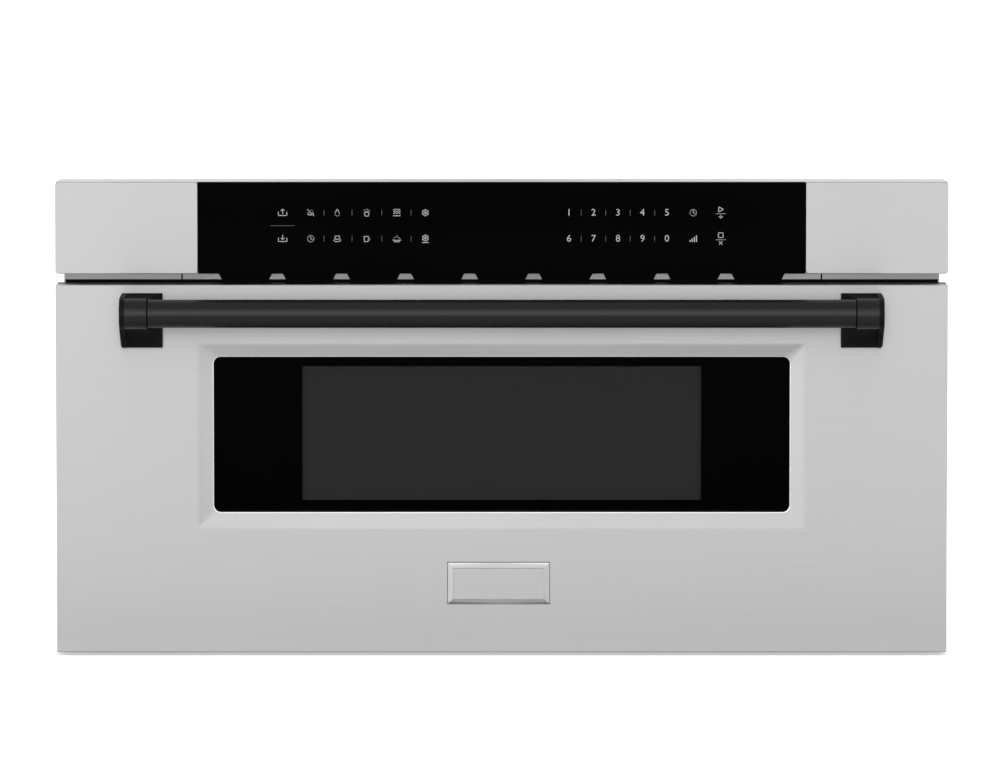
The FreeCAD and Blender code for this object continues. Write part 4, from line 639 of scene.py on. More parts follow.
class DRAWER_OT_finishes(bpy.types.Operator):
    """Makes the shared finishes that the other steps use"""

    bl_idname = "drawer.finishes"
    bl_label = "Make Finishes"

    def execute(self, context):
        """Builds every material once."""
        look = context.scene.drawer_finish
        grain, fine, spangle, holes = brushed_group(), textured_group(), spangle_group(), hole_group()
        length, width = look.grain_length, look.grain_width
        FINISHES.update(
            front=brushed("Brushed Front", grain, look.steel, 0.42, length, width, 0.18),
            polished=brushed("Polished Steel", grain, (0.82, 0.82, 0.815), 0.2, length, width, 0.03),
            frame=brushed("Frame Steel", grain, (0.50, 0.50, 0.495), 0.36, length, width, 0.08),
            liner=brushed("Oven Steel", grain, (0.55, 0.55, 0.53), 0.30, length / 3, width, 0.08),
            rail=brushed("Rail Steel", grain, (0.52, 0.53, 0.55), 0.26, length / 4, 2 * width, 0.10),
            zinc=zinc("Zinc Sheet", spangle, look.zinc, 7 * MM, 0.40),
            powder=textured("Black Powder Coat", fine, look.handle, 0.33, 0.5 * MM, 0.25, 0.01 * MM,
                            level=0.40),
            # Dark inner door frame behind the front's steel return; its darkness also paints the shade of
            # the gap under the panel.
            door_frame=textured("Dark Door Frame And Painted Shade", fine, (0.020, 0.020, 0.021), 0.45, 0.6 * MM, 0.2,
                                0.01 * MM, level=0.3),
            # Darker, duller copy of the handle's black powder coat for the brackets' feet, scoops and
            # cheeks: painted shade.
            matte=textured("Shaded Handle Black", fine, (0.004, 0.004, 0.0042), 0.5, 0.6 * MM, 0.3,
                           0.01 * MM, level=0.12),
            # Black rubber of the strip's end gaskets, also used for the black pieces that paint shade: the
            # plate's pad, the socket rings and the strip at the frame's foot.
            rubber=textured("Black Rubber And Painted Shade", fine, (0.003, 0.003, 0.003), 0.7, 0.8 * MM, 0.3, 0.01 * MM,
                            level=0.1),
            plastic=textured("Black Plastic", fine, (0.022, 0.022, 0.023), 0.5, 0.4 * MM, 0.3, 0.02 * MM),
            acetal=textured("Natural Acetal", fine, (0.66, 0.65, 0.60), 0.38, 1 * MM, 0.05, 0.01 * MM),
            ceramic=textured("Floor Plate", fine, (0.70, 0.69, 0.66), 0.16, 0.8 * MM, 0.10, 0.003 * MM),
            mica=textured("Stirrer Cover", fine, (0.52, 0.47, 0.37), 0.55, 2 * MM, 0.35, 0.02 * MM),
            alloy=textured("Plain Alloy", fine, (0.50, 0.51, 0.52), 0.40, 0.7 * MM, 0.12, 0.02 * MM,
                           metallic=1.0),
            screw=textured("Zinc Screws", fine, (0.60, 0.58, 0.50), 0.30, 1 * MM, 0.20, 0.01 * MM,
                           metallic=1.0),
            laminations=layered("Steel Laminations", (0.11, 0.10, 0.09), 1.0 * MM, "X"),
            glass=black_glass("Black Panel Glass", look.glass),
            filter=perforated("Black Mesh Filter", holes, (0.006, 0.006, 0.006), (0.0008, 0.0008, 0.0008),
                              1.5 * MM, 0.04),
            board=circuit_board("Circuit Board"),
            screen=perforated("Perforated Screen", holes, (0.036, 0.036, 0.037), (0.028, 0.028, 0.028),
                              1.25 * MM),
        )
        return {"FINISHED"}


def dress_all(plan):
    """Gives each finish of a plan to its CAD nodes."""
    for finish, nodes in plan.items():
        dress(FINISHES[finish], *nodes)


class DRAWER_OT_chassis(bpy.types.Operator):
    """Gives the chassis and its inner parts their finishes"""

    bl_idname = "drawer.chassis"
    bl_label = "Dress Chassis"

    def execute(self, context):
        """Puts a finish on each node that stays in the cabinet."""
        dress_all({
            "front": ("control_housing", "panel_cap_right", "panel_cap_left"),
            "frame": ("front_frame", "vent_strip"),
            "liner": ("cavity_liner",),
            "zinc": ("base_pan", "cabinet_wrap", "rear_cover", "waveguide", "rail_mount_right",
                     "rail_mount_left", "drive_bracket"),
            "rail": ("outer_rail_right", "outer_rail_left", "mid_rail_right", "mid_rail_left",
                     "gear_shaft"),
            "plastic": ("switch_bracket", "interlock_switches", "display_module", "power_gland",
                        "air_duct", "fan_shroud", "cavity_lamp", "thermal_cutouts"),
            "acetal": ("drive_gear", "motor_pinion", "fan_rotor"),
            "alloy": ("magnetron", "drive_motor", "stirrer_motor", "stirrer_blade", "hv_capacitor"),
            "laminations": ("hv_transformer", "fan_motor"),
            "board": ("control_board", "filter_board"),
            "mica": ("stirrer_cover",),
            "glass": ("touch_glass",),
            "screw": ("chassis_screws",),
        })
        return {"FINISHED"}


class DRAWER_OT_tub(bpy.types.Operator):
    """Gives the drawer's body, tub and slides their finishes"""

    bl_idname = "drawer.tub"
    bl_label = "Dress Drawer"

    def execute(self, context):
        """Puts a finish on each node that slides out."""
        dress_all({
            "front": ("drawer_skin",),
            "liner": ("drawer_tub", "inner_panel", "choke_ring"),
            "zinc": ("rail_arm_right", "rail_arm_left"),
            "rail": ("inner_rail_right", "inner_rail_left"),
            "plastic": ("choke_cover", "latch_prongs"),
            "acetal": ("rack",),
            "ceramic": ("ceramic_plate",),
            "screw": ("handle_screws",),
        })
        return {"FINISHED"}


# ---- Operators: drawer front, window and handle ----------------------------------------------

class DRAWER_OT_skin(bpy.types.Operator):
    """Makes the pressed steel front of the drawer, with its soft window bevel and turned edges"""

    bl_idname = "drawer.skin"
    bl_label = "Make Drawer Front"

    def execute(self, context):
        """Bridges outlines from the back edge over the face into the window, then gives thickness."""
        trim = context.scene.drawer_trim
        wall, step, corner = 1.2 * MM, 0.4 * MM, 0.8 * MM
        beside, over, under = trim.window_bevel
        half, low, high = SKIN_HIGH.x, SKIN_LOW.z, SKIN_HIGH.z
        face, back = SKIN_LOW.y, SKIN_HIGH.y
        turn = face + trim.steel_return
        bm = bmesh.new()
        rings = [loop(bm, *outline) for outline in (
            (half - step, low + step, high - step, corner, back),
            (half - step, low + step, high - step, corner, turn + step),
            (half, low, high, corner, turn),
            (half, low, high, corner, face),
            (OPENING_HALF + beside, OPENING_LOW - under, OPENING_HIGH + over, 1.5 * MM, face),
            (OPENING_HALF + step, OPENING_LOW - step, OPENING_HIGH + step, OPENING_CORNER + 0.2 * MM,
             face + trim.window_slope),
            (OPENING_HALF, OPENING_LOW, OPENING_HIGH, OPENING_CORNER, PANE_LOW.y))]
        bridged(bm, rings)
        for width, ring in zip((1.2 * MM, 2.4 * MM, 0.6 * MM), rings[3:]):
            bevelled(bm, [e for e in ring if e.is_valid], width, 5)
        bmesh.ops.recalc_face_normals(bm, faces=bm.faces)
        if sum(f.normal.y * f.calc_area() for f in bm.faces) > 0:
            bmesh.ops.reverse_faces(bm, faces=bm.faces)
        for item in bm.faces:
            centre = item.calc_center_median()
            inside = abs(centre.x) < OPENING_HALF + beside and low + under < centre.z < high - over
            # Faces behind the steel return, off the window, take the dark door frame, which also paints
            # the shade in the gap under the panel.
            item.material_index = int(centre.y > turn and abs(item.normal.y) < 0.9 and not inside)
        bmesh.ops.solidify(bm, geom=bm.faces, thickness=wall)
        skin = new_piece("pressed_front", bm, FINISHES["front"], "drawer", smooth=40)
        skin.data.materials.append(FINISHES["door_frame"])
        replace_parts(skin, "drawer_skin")
        return {"FINISHED"}


class DRAWER_OT_caps(bpy.types.Operator):
    """Makes the end caps beside the touch glass"""

    bl_idname = "drawer.caps"
    bl_label = "Make End Caps"

    def execute(self, context):
        """Plates with round corners and a softened front edge."""
        corner, ease = 2.6 * MM, 0.8 * MM
        for side in ("right", "left"):
            low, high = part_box("panel_cap_" + side)
            bm = bmesh.new()
            round_box(bm, low, high, corner, ease)
            cap = new_piece("end_cap_" + side, bm, FINISHES["front"], "chassis", smooth=40)
            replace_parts(cap, "panel_cap_" + side)
        return {"FINISHED"}


class DRAWER_OT_window(bpy.types.Operator):
    """Makes the window: printed glass, perforated screen and a bright edge"""

    bl_idname = "drawer.window"
    bl_label = "Make Window"

    def execute(self, context):
        """Gives the panes their print and adds the trim round the glass."""
        look, trim = context.scene.drawer_finish, context.scene.drawer_trim
        border, gap = 12 * MM, 0.15 * MM
        clear = (SCREEN_HIGH.x - border, SCREEN_LOW.z + border, SCREEN_HIGH.z - border)
        bm = bmesh.new()
        round_box(bm, PANE_LOW, (PANE_HIGH.x, PANE_HIGH.y - gap, PANE_HIGH.z), 4 * MM, 0.4 * MM)
        pane = new_piece("printed_pane", bm, window_glass("Window Glass", look.glass, *clear), "drawer",
                         smooth=40)
        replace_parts(pane, "window_glass")
        dress(window_glass("Inner Pane", look.glass, *clear), "inner_pane")
        dress(FINISHES["screen"], "window_screen")
        lip = SKIN_LOW.y + trim.window_slope
        rim = ((-0.9, 0.5), (-0.7, -0.1), (-0.1, -0.1), (0.25, 0.3), (0.3, 9.0))
        bm = bmesh.new()
        rings = []
        for inset, back in rim:
            inset *= MM
            rings.append(loop(bm, OPENING_HALF - inset, OPENING_LOW + inset, OPENING_HIGH - inset,
                              OPENING_CORNER - inset, lip + back * MM))
        bridged(bm, rings)
        new_piece("glass_rim", bm, FINISHES["polished"], "drawer", smooth=60)
        return {"FINISHED"}


class DRAWER_OT_handle(bpy.types.Operator):
    """Makes the smooth handle tube, its cast brackets with their cheeks, and black rings that paint the
    shadow where the tube enters each socket
    """

    bl_idname = "drawer.handle"
    bl_label = "Make Handle"

    def execute(self, context):
        """Replaces the tube and both brackets."""
        trim = context.scene.drawer_trim
        centre = (TUBE_LOW + TUBE_HIGH) / 2
        half, radius = TUBE_HIGH.x - centre.x, (TUBE_HIGH.z - TUBE_LOW.z) / 2
        inner, ease = radius - 1.5 * MM, 0.4 * MM
        bm = bmesh.new()
        spun(bm, [(-half, 0, inner), (-half, 0, radius - ease), (ease - half, 0, radius),
                  (half - ease, 0, radius), (half, 0, radius - ease), (half, 0, inner)],
             centre, trim.tube_sides)
        tube = new_piece("grip_tube", bm, FINISHES["powder"], "drawer", smooth=30)
        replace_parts(tube, "handle_tube")
        socket_reach, socket_depth = 1.25 * radius, 23 * MM
        for side, sign in (("right", 1), ("left", -1)):
            low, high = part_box("handle_bracket_" + side)
            outer = max(abs(low.x), abs(high.x))
            bm = self.casting("handle_bracket_" + side, sign, outer - trim.cheek + 0.3 * MM)
            self.cheek(side, sign, outer, trim.cheek, low, high, centre)
            # Faces away from the socket take the darker copy of the black: painted shade on the foot and
            # under the tube.
            for item in bm.faces:
                gap = item.calc_center_median() - centre
                item.material_index = int(math.hypot(gap.y, gap.z) > socket_reach)
            bracket = new_piece("cast_bracket_" + side, bm, FINISHES["powder"], "drawer",
                                smooth=40)
            bracket.data.materials.append(FINISHES["matte"])
            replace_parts(bracket, "handle_bracket_" + side)
            self.seal(side, sign, radius, (outer - socket_depth, centre.y, centre.z))
        return {"FINISHED"}

    def casting(self, node, sign, cut):
        """The node's neck and socket with soft edges, cut off where the cheek covers it."""
        bm = merged_copy(node)
        rounded_edges(bm, 0.7 * MM, 35)
        made = bmesh.ops.bisect_plane(bm, geom=list(bm.verts) + list(bm.edges) + list(bm.faces),
                                      plane_co=(sign * cut, 0, 0), plane_no=(sign, 0, 0),
                                      clear_outer=True)["geom_cut"]
        bmesh.ops.holes_fill(bm, edges=[e for e in made if isinstance(e, bmesh.types.BMEdge)])
        return bm

    def cheek(self, side, sign, outer, thickness, low, high, centre):
        """Outer cheek of a bracket: a foot on the front's steel that ends in a round nose, in the darker
        black that paints shade.
        """
        ends = sorted((sign * (outer - thickness), sign * outer))
        foot, reach = 7 * MM, centre.y - low.y
        bm = bmesh.new()
        block(bm, (ends[0], high.y - foot, low.z), (ends[1], high.y, high.z))
        corners = [e for e in bm.edges if abs(e.verts[0].co.y - e.verts[1].co.y) > 1 * MM
                   and abs(e.verts[0].co.x) > outer - 0.1 * MM]
        bevelled(bm, corners, 1.4 * MM, 1, slide=False)
        nose = disc(bm, 64, reach, reach, thickness)
        put(bm, nose, Matrix.Rotation(QUARTER, 3, "Y"), (sum(ends) / 2, centre.y, centre.z))
        hull = bmesh.ops.convex_hull(bm, input=bm.verts)
        inner = {item for key in ("geom_interior", "geom_unused") for item in hull[key]}
        inner = [item for item in inner if isinstance(item, bmesh.types.BMVert)]
        bmesh.ops.delete(bm, geom=inner, context="VERTS")
        bmesh.ops.dissolve_limit(bm, angle_limit=math.radians(0.5), verts=bm.verts, edges=bm.edges)
        rounded_edges(bm, 0.6 * MM, 30)
        new_piece("bracket_cheek_" + side, bm, FINISHES["matte"], "drawer", smooth=40)

    def seal(self, side, sign, radius, mouth):
        """Black ring where the tube enters the bracket's socket: painted shadow of the step there."""
        section = ((-1.3, -0.2), (-1.3, 0.25), (-0.9, 0.5), (0.1, 0.5), (0.1, -0.2))
        bm = bmesh.new()
        spun(bm, [(along * MM, 0, radius + out * MM) for along, out in section], mouth, 64)
        if sign < 0:
            bmesh.ops.scale(bm, vec=(-1, 1, 1), verts=bm.verts)
        new_piece("socket_shade_ring_" + side, bm, FINISHES["rubber"], "drawer", smooth=40)


class DRAWER_OT_plate(bpy.types.Operator):
    """Makes the bare plate low on the drawer front"""

    bl_idname = "drawer.plate"
    bl_label = "Make Bare Plate"

    def execute(self, context):
        """Sloped border round a flat brushed field, on a thin black pad whose rim paints the plate's
        contact shadow.
        """
        trim = context.scene.drawer_trim
        x, z = trim.plate_centre
        face, edge, shadow_pad = SKIN_LOW.y, 0.8 * MM, 0.35 * MM
        half_w, half_h = trim.plate_width / 2, trim.plate_height / 2
        bm = bmesh.new()
        block(bm, (x - half_w, face - edge, z - half_h), (x + half_w, face - 0.2 * MM, z + half_h))
        front = [f for f in bm.faces if f.calc_center_median().y < face - 0.7 * MM]
        bmesh.ops.recalc_face_normals(bm, faces=bm.faces)
        for width, rise in ((trim.plate_bevel, trim.plate_rise - edge), (0.5 * MM, -0.3 * MM)):
            bmesh.ops.inset_region(bm, faces=front, thickness=width, depth=rise, use_even_offset=True)
        rounded_edges(bm, 0.2 * MM, 10)
        new_piece("bare_plate", bm, FINISHES["front"], "drawer", smooth=12)
        # Thin black pad a little wider than the plate: painted contact shadow round its edge.
        soft_blocks("plate_shadow_pad", [((x - half_w - shadow_pad, face - 0.5 * MM, z - half_h - shadow_pad),
                                   (x + half_w + shadow_pad, face + 0.1 * MM, z + half_h + shadow_pad))],
                    0.15 * MM, FINISHES["rubber"], "drawer")
        return {"FINISHED"}


# ---- Operators: panel marks ------------------------------------------------------------------

DIGIT_SHARE = 0.72
FINE_LINE, FAINT_LINE, LEVEL_BAR = 0.3 * MM, 0.35 * MM, 0.9 * MM


class MarkSheet:
    """Collects flat marks on the touch glass, in metres across and up."""

    def __init__(self, stroke):
        self.bm = bmesh.new()
        self.stroke = stroke
        self.front = GLASS_FRONT - 0.06 * MM
        self.back = GLASS_FRONT + 0.05 * MM

    def bar(self, x0, z0, x1, z1, width):
        """Straight stroke between two points, with ends that overlap the next."""
        length = math.hypot(x1 - x0, z1 - z0) + width * 0.6
        made = block(self.bm, (-length / 2, self.front, -width / 2), (length / 2, self.back, width / 2))
        turn = Matrix.Rotation(-math.atan2(z1 - z0, x1 - x0), 3, "Y")
        put(self.bm, made, turn, ((x0 + x1) / 2, 0, (z0 + z1) / 2))

    def draw(self, x, z, strokes, width=None):
        """Strokes through points given in millimetres round a place."""
        for points in strokes:
            for (ax, az), (bx, bz) in zip(points, points[1:]):
                self.bar(x + ax * MM, z + az * MM, x + bx * MM, z + bz * MM, width or self.stroke)

    def digit(self, text, x, z, height):
        """One digit, centred on a place."""
        curve = bpy.data.curves.new("digit", "FONT")
        curve.body = text
        curve.align_x = "CENTER"
        curve.align_y = "CENTER"
        curve.size = height / DIGIT_SHARE
        curve.resolution_u = 4
        maker = bpy.data.objects.new("digit", curve)
        bpy.context.scene.collection.objects.link(maker)
        mesh = bpy.data.meshes.new_from_object(maker.evaluated_get(bpy.context.evaluated_depsgraph_get()))
        bpy.data.objects.remove(maker)
        mesh.transform(Matrix.Translation((x, self.front, z)) @ Matrix.Rotation(QUARTER, 4, "X"))
        self.bm.from_mesh(mesh)


def ring(*points):
    """Points of a closed outline."""
    return [*points, points[0]]


def arc(x, z, radius, start, end, steps=14):
    """Points of an arc, in millimetres and degrees."""
    angles = [math.radians(start + (end - start) * k / steps) for k in range(steps + 1)]
    return [(x + radius * math.cos(a), z + radius * math.sin(a)) for a in angles]


def frost_star(rise=0.0):
    """Strokes of a six-armed star, raised by some millimetres."""
    strokes = []
    for turn in (30, 90, 150):
        dx, dz = 2.9 * math.cos(math.radians(turn)), 2.9 * math.sin(math.radians(turn))
        strokes.append([(-dx, rise - dz), (dx, rise + dz)])
        for end in (-1, 1):
            for lean in (-50, 50):
                a = math.radians(turn + lean)
                x, z = end * dx * 0.6, rise + end * dz * 0.6
                strokes.append([(x, z), (x + end * 1.1 * math.cos(a), z + end * 1.1 * math.sin(a))])
    return strokes


DISH = [(-3.0, -1.0), (-2.0, -2.4), (2.0, -2.4), (3.0, -1.0)]
TRAY = [(-3.6, 0.6), (-3.6, -2.4), (3.6, -2.4), (3.6, 0.6)]
SYMBOLS = {
    "open": (TRAY, [(0, -0.9), (0, 3.2)], [(-1.5, 1.7), (0, 3.2), (1.5, 1.7)]),
    "shut": (TRAY, [(0, 3.2), (0, -0.9)], [(-1.5, 0.6), (0, -0.9), (1.5, 0.6)]),
    "crossed_bell": (arc(0, 0.3, 1.9, 0, 180), [(-1.9, 0.3), (-2.5, -1.8), (2.5, -1.8), (1.9, 0.3)],
                     [(-2.7, 2.7), (2.7, -2.7)]),
    "drop": (arc(0, -0.9, 1.9, 150, 390), [(-1.65, 0.1), (0, 3.1), (1.65, 0.1)]),
    "full_cup": (ring((-2.0, 0.4), (-1.5, -2.9), (1.5, -2.9), (2.0, 0.4)),
                 *(arc(x, z, 0.8, 0, 360, 10) for x, z in ((-1.4, 1.6), (0, 2.3), (1.4, 1.6)))),
    "waves": (*([(-2.8, z - 0.4), (-1.4, z + 0.4), (0, z - 0.4), (1.4, z + 0.4), (2.8, z - 0.4)]
                for z in (-0.4, 1.2, 2.8)), [(-3.0, -2.6), (3.0, -2.6)]),
    "frost": frost_star(),
    "clock": (arc(0, 0, 2.7, 0, 360, 24), [(0, 1.7), (0, 0), (1.3, -0.7)]),
    "block_on_dish": (ring((-1.8, 2.3), (1.8, 2.3), (2.1, -0.4), (-2.1, -0.4)), DISH),
    "cup": (ring((-2.4, 1.9), (-2.0, -2.5), (1.2, -2.5), (1.6, 1.9)), arc(1.5, 0, 1.3, -80, 80, 8)),
    "covered_dish": (arc(0, -1.4, 2.9, 0, 180), [(-3.5, -1.4), (3.5, -1.4)],
                     arc(0, 2.1, 0.5, 0, 360, 8), [(-2.4, -2.6), (2.4, -2.6)]),
    "weighed_frost": (*frost_star(0.6), [(-2.6, -3.3), (2.6, -3.3)]),
    "levels": [[(-2.7 + k * 1.8, -2.5), (-2.7 + k * 1.8, -1.4 + k * 1.3)] for k in range(4)],
    "start": (ring((-1.8, 5.0), (2.2, 2.8), (-1.8, 0.6)), [(-1.6, -3.6), (1.6, -3.6)],
              [(0, -2.2), (0, -5.0)]),
    "stop": (ring((-2.0, 5.0), (2.0, 5.0), (2.0, 1.0), (-2.0, 1.0)), [(-1.2, -2.4), (1.2, -4.8)],
             [(-1.2, -4.8), (1.2, -2.4)]),
}


class DRAWER_OT_marks(bpy.types.Operator):
    """Makes the touch panel's digits, symbols and dividing lines"""

    bl_idname = "drawer.marks"
    bl_label = "Make Panel Marks"

    def execute(self, context):
        """Two rows of keys: drawer keys, cooking keys, digits, and start and stop."""
        look, trim = context.scene.drawer_finish, context.scene.drawer_trim
        rows = (379.9 * MM, 357.7 * MM)
        drawer_x, clock_x, start_x = -186.5 * MM, 163.0 * MM, 186.4 * MM
        key_x = [value * MM for value in (-162.6, -140.0, -114.9, -89.3, -65.0)]
        digit_x, digit_pitch = 57.2 * MM, 20.85 * MM
        sheet, faint = MarkSheet(trim.mark_stroke), MarkSheet(trim.mark_stroke)
        faint.draw(drawer_x, sum(rows) / 2, [[(-10.0, 0), (10.0, 0)]], FAINT_LINE)
        pairs = (("open", "shut"), ("crossed_bell", "clock"), ("drop", "block_on_dish"),
                 ("full_cup", "cup"), ("waves", "covered_dish"), ("frost", "weighed_frost"),
                 ("clock", "levels"), ("start", "stop"))
        for x, pair in zip((drawer_x, *key_x, clock_x, start_x), pairs):
            for z, name in zip(rows, pair):
                sheet.draw(x, z, SYMBOLS[name], LEVEL_BAR if name == "levels" else None)
        for index in range(5):
            for z, number in zip(rows, (index + 1, (index + 6) % 10)):
                sheet.digit(str(number), digit_x + index * digit_pitch, z, trim.mark_height)
        dividers = [(a + b) / 2 for a, b in zip(key_x, key_x[1:])]
        dividers += [digit_x + (index + 0.5) * digit_pitch for index in range(4)]
        for z in rows:
            sheet.draw(start_x, z, [[(-4.2, -0.9), (4.2, -0.9)]], FINE_LINE)
            for x in dividers:
                faint.draw(x, z, [[(0, -2.4), (0, 2.4)]], FAINT_LINE)
        dim = [0.25 * level for level in look.mark]
        new_piece("panel_marks", sheet.bm, panel_ink("Panel Ink", look.mark), "chassis")
        new_piece("panel_dividers", faint.bm, panel_ink("Faint Panel Ink", dim), "chassis")
        return {"FINISHED"}


# ---- Operators: eased edges, vents and screws ------------------------------------------------

class DRAWER_OT_edges(bpy.types.Operator):
    """Eases the edges of the sheet-metal, moulded and ceramic parts that show"""

    bl_idname = "drawer.edges"
    bl_label = "Ease Edges"

    def execute(self, context):
        """Puts a soft-edged copy in the place of each part."""
        for node, name, finish, body, slot, width in (
                ("cabinet_wrap", "folded_wrap", "zinc", "chassis", "zinc_sheet", 0.5),
                ("rear_cover", "folded_rear", "zinc", "chassis", "zinc_sheet", 0.35),
                ("base_pan", "folded_pan", "zinc", "chassis", "zinc_sheet", 0.4),
                ("control_housing", "folded_housing", "front", "chassis", "stainless", 0.3),
                ("front_frame", "pierced_frame", "frame", "chassis", "stainless", 0.3),
                ("vent_strip", "pierced_strip", "frame", "chassis", "stainless", 0.3),
                ("power_gland", "moulded_gland", "plastic", "chassis", "black_plastic", 0.6),
                ("drawer_tub", "pressed_tub", "liner", "drawer", "oven_steel", 0.4),
                ("ceramic_plate", "floor_plate", "ceramic", "drawer", "ceramic", 1.2),
                ("choke_cover", "moulded_choke_cover", "plastic", "drawer", "black_plastic", 0.5),
                ("latch_prongs", "moulded_prongs", "plastic", "drawer", "black_plastic", 0.4),
                ("stirrer_cover", "moulded_stirrer_cover", "mica", "chassis", "mica", 0.6)):
            soft_copy(node, name, FINISHES[finish], body, width * MM)
        return {"FINISHED"}


class DRAWER_OT_vents(bpy.types.Operator):
    """Makes the dark filter behind the front vents, the strip's end gaskets, and a black strip at its foot
    that paints the gap's shade
    """

    bl_idname = "drawer.vents"
    bl_label = "Make Vent Filter"

    def execute(self, context):
        """One thin mesh sheet, a dark gasket at each end of the strip, and a black strip across the frame
        that paints the shade of the gap over the drawer.
        """
        low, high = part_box("vent_strip")
        frame_low, frame_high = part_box("front_frame")
        mesh = ((low.x + 2 * MM, high.y - 1.6 * MM, low.z + 1.5 * MM),
                (high.x - 2 * MM, high.y - 0.8 * MM, high.z - 1.5 * MM))
        # Black strip across the frame at the vent strip's foot: painted shade of the gap over the drawer's
        # top.
        foot = ((frame_low.x + 1 * MM, low.y - 0.6 * MM, low.z - 0.6 * MM),
                (frame_high.x - 1 * MM, low.y + 0.4 * MM, low.z + 4.8 * MM))
        gaskets = []
        for sign in (-1, 1):
            ends = sorted((sign * (high.x - 0.2 * MM), sign * (high.x + 1.1 * MM)))
            gaskets.append(((ends[0], low.y - 0.25 * MM, low.z), (ends[1], low.y + 0.5 * MM, high.z)))
        for name, boxes, ease, finish in (("vent_filter", [mesh], 0.2, "filter"),
                                          ("strip_gaskets", gaskets, 0.12, "rubber"),
                                          ("front_shade_strip", [foot], 0.3, "rubber")):
            soft_blocks(name, boxes, ease * MM, FINISHES[finish], "chassis")
        return {"FINISHED"}


class DRAWER_OT_screws(bpy.types.Operator):
    """Makes the washer-head screws of the rear cover and the pan-head screws of the folded wrap"""

    bl_idname = "drawer.screws"
    bl_label = "Make Screws"

    def execute(self, context):
        """One six-sided head with its washer at each screw's place, then the wrap's screws."""
        washer = 0.3
        bm = bmesh.new()
        for low, high in solid_boxes("chassis_screws"):
            centre, radius, depth = (low + high) / 2, (high.x - low.x) / 2, high.y - low.y
            for sides, foot, top, start, end in ((32, radius, radius * 0.9, 0, washer),
                                                 (6, radius * 0.72, radius * 0.72, washer, 1.0)):
                made = disc(bm, sides, foot, top, depth * (end - start))
                put(bm, made, Matrix.Rotation(-QUARTER, 3, "X"),
                    Vector((centre.x, low.y + depth * (start + end) / 2, centre.z)))
            socket = {f for v in made for f in v.link_faces
                      if f.calc_center_median().y > high.y - 0.01 * MM}
            bmesh.ops.inset_region(bm, faces=list(socket), thickness=radius * 0.3, depth=-0.1 * depth)
        heads = new_piece("washer_head_screws", bm, FINISHES["screw"], "chassis",
                          smooth=30)
        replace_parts(heads, "chassis_screws")
        self.wrap_screws()
        return {"FINISHED"}

    def wrap_screws(self):
        """Cross-recess heads along the foot, front and back of the wrap's sides, and on its top."""
        low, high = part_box("cabinet_wrap")
        wide, deep, tall = (most - least for least, most in zip(low, high))
        inset, foot = 9 * MM, 11 * MM
        side = [(low.y + deep * share, low.z + foot) for share in (0.08, 0.36, 0.64, 0.92)]
        side += [(y, low.z + tall * share) for y in (low.y + inset, high.y - inset)
                 for share in (0.3, 0.62, 0.93)]
        bm = bmesh.new()
        for sign in (-1, 1):
            for y, z in side:
                self.pan_head(bm, (sign * high.x, y, z), Matrix.Rotation(sign * QUARTER, 3, "Y"))
        for share in (0.06, 0.35, 0.65, 0.94):
            for y in (low.y + inset, high.y - inset):
                self.pan_head(bm, (low.x + wide * share, y, high.z), Matrix.Identity(3))
        new_piece("wrap_screws", bm, FINISHES["screw"], "chassis", smooth=40)

    def pan_head(self, bm, place, turn):
        """Domed head with a sunk cross, whose axis is turned from +Z."""
        radius, height, slot, sunk = 3.6 * MM, 1.9 * MM, 0.7 * MM, 0.5 * MM
        made = disc(bm, 24, radius, radius * 0.62, height)
        bmesh.ops.translate(bm, vec=(0, 0, height / 2 - 0.1 * MM), verts=made)
        rim = {e for v in made for e in v.link_edges if all(u.co.z > height / 2 for u in e.verts)}
        made += bevelled(bm, list(rim), 0.5 * MM, 2)["verts"]
        made = [v for v in set(made) if v.is_valid]
        for width, depth in ((radius * 0.9, slot), (slot, radius * 0.9)):
            made += block(bm, (-width / 2, -depth / 2, height - sunk),
                          (width / 2, depth / 2, height - 0.02 * MM))
        put(bm, made, turn, place)


# ---- Operators: studio -----------------------------------------------------------------------

# Name, place, aim, size, power, whether it is seen in reflections and whether it lights dull surfaces.
SOFT_LAMPS = (
    ("Overhead Softbox", (0.0, -1.2, 3.2), (0, -0.2, 0.1), (3.0, 2.4), 32.0, False, True),
    ("Front Softbox", (-0.5, -4.6, 0.95), (0, 0, 0.2), (3.2, 1.8), 21.0, True, True),
    ("Left Strip", (-2.7, -4.6, 1.0), (0, 0, 0.2), (1.3, 3.0), 20.0, True, False),
    ("Right Strip", (2.7, -4.6, 1.0), (0, 0, 0.2), (1.3, 3.0), 20.0, True, False),
)
# Painted shade that the floor shows only in reflections, which darkens the drawer front's lower part, from
# its far front to the drawer's foot: share of the way, tone.
FLOOR_REFLECTION_SHADE = ((0.4, 0.46), (0.467, 0.46), (0.587, 0.7), (0.627, 0.66), (0.667, 0.3), (0.687, 0.3),
               (0.7, 1.0))
SENSOR_WIDTH = 36.0


def soft_lamp(name, place, aim, size, power, mirrored, lit):
    """Area lamp that points at a place, seen or unseen in reflections, lighting dull surfaces or not."""
    data = bpy.data.lights.new(name, "AREA")
    data.shape = "RECTANGLE"
    data.size, data.size_y = size
    data.energy = power
    lamp = bpy.data.objects.new(name, data)
    lamp.location = place
    lamp.rotation_euler = (Vector(aim) - Vector(place)).to_track_quat("-Z", "Y").to_euler()
    lamp.visible_glossy = mirrored
    lamp.visible_diffuse = lit
    lamp.visible_camera = False
    bpy.context.scene.collection.objects.link(lamp)


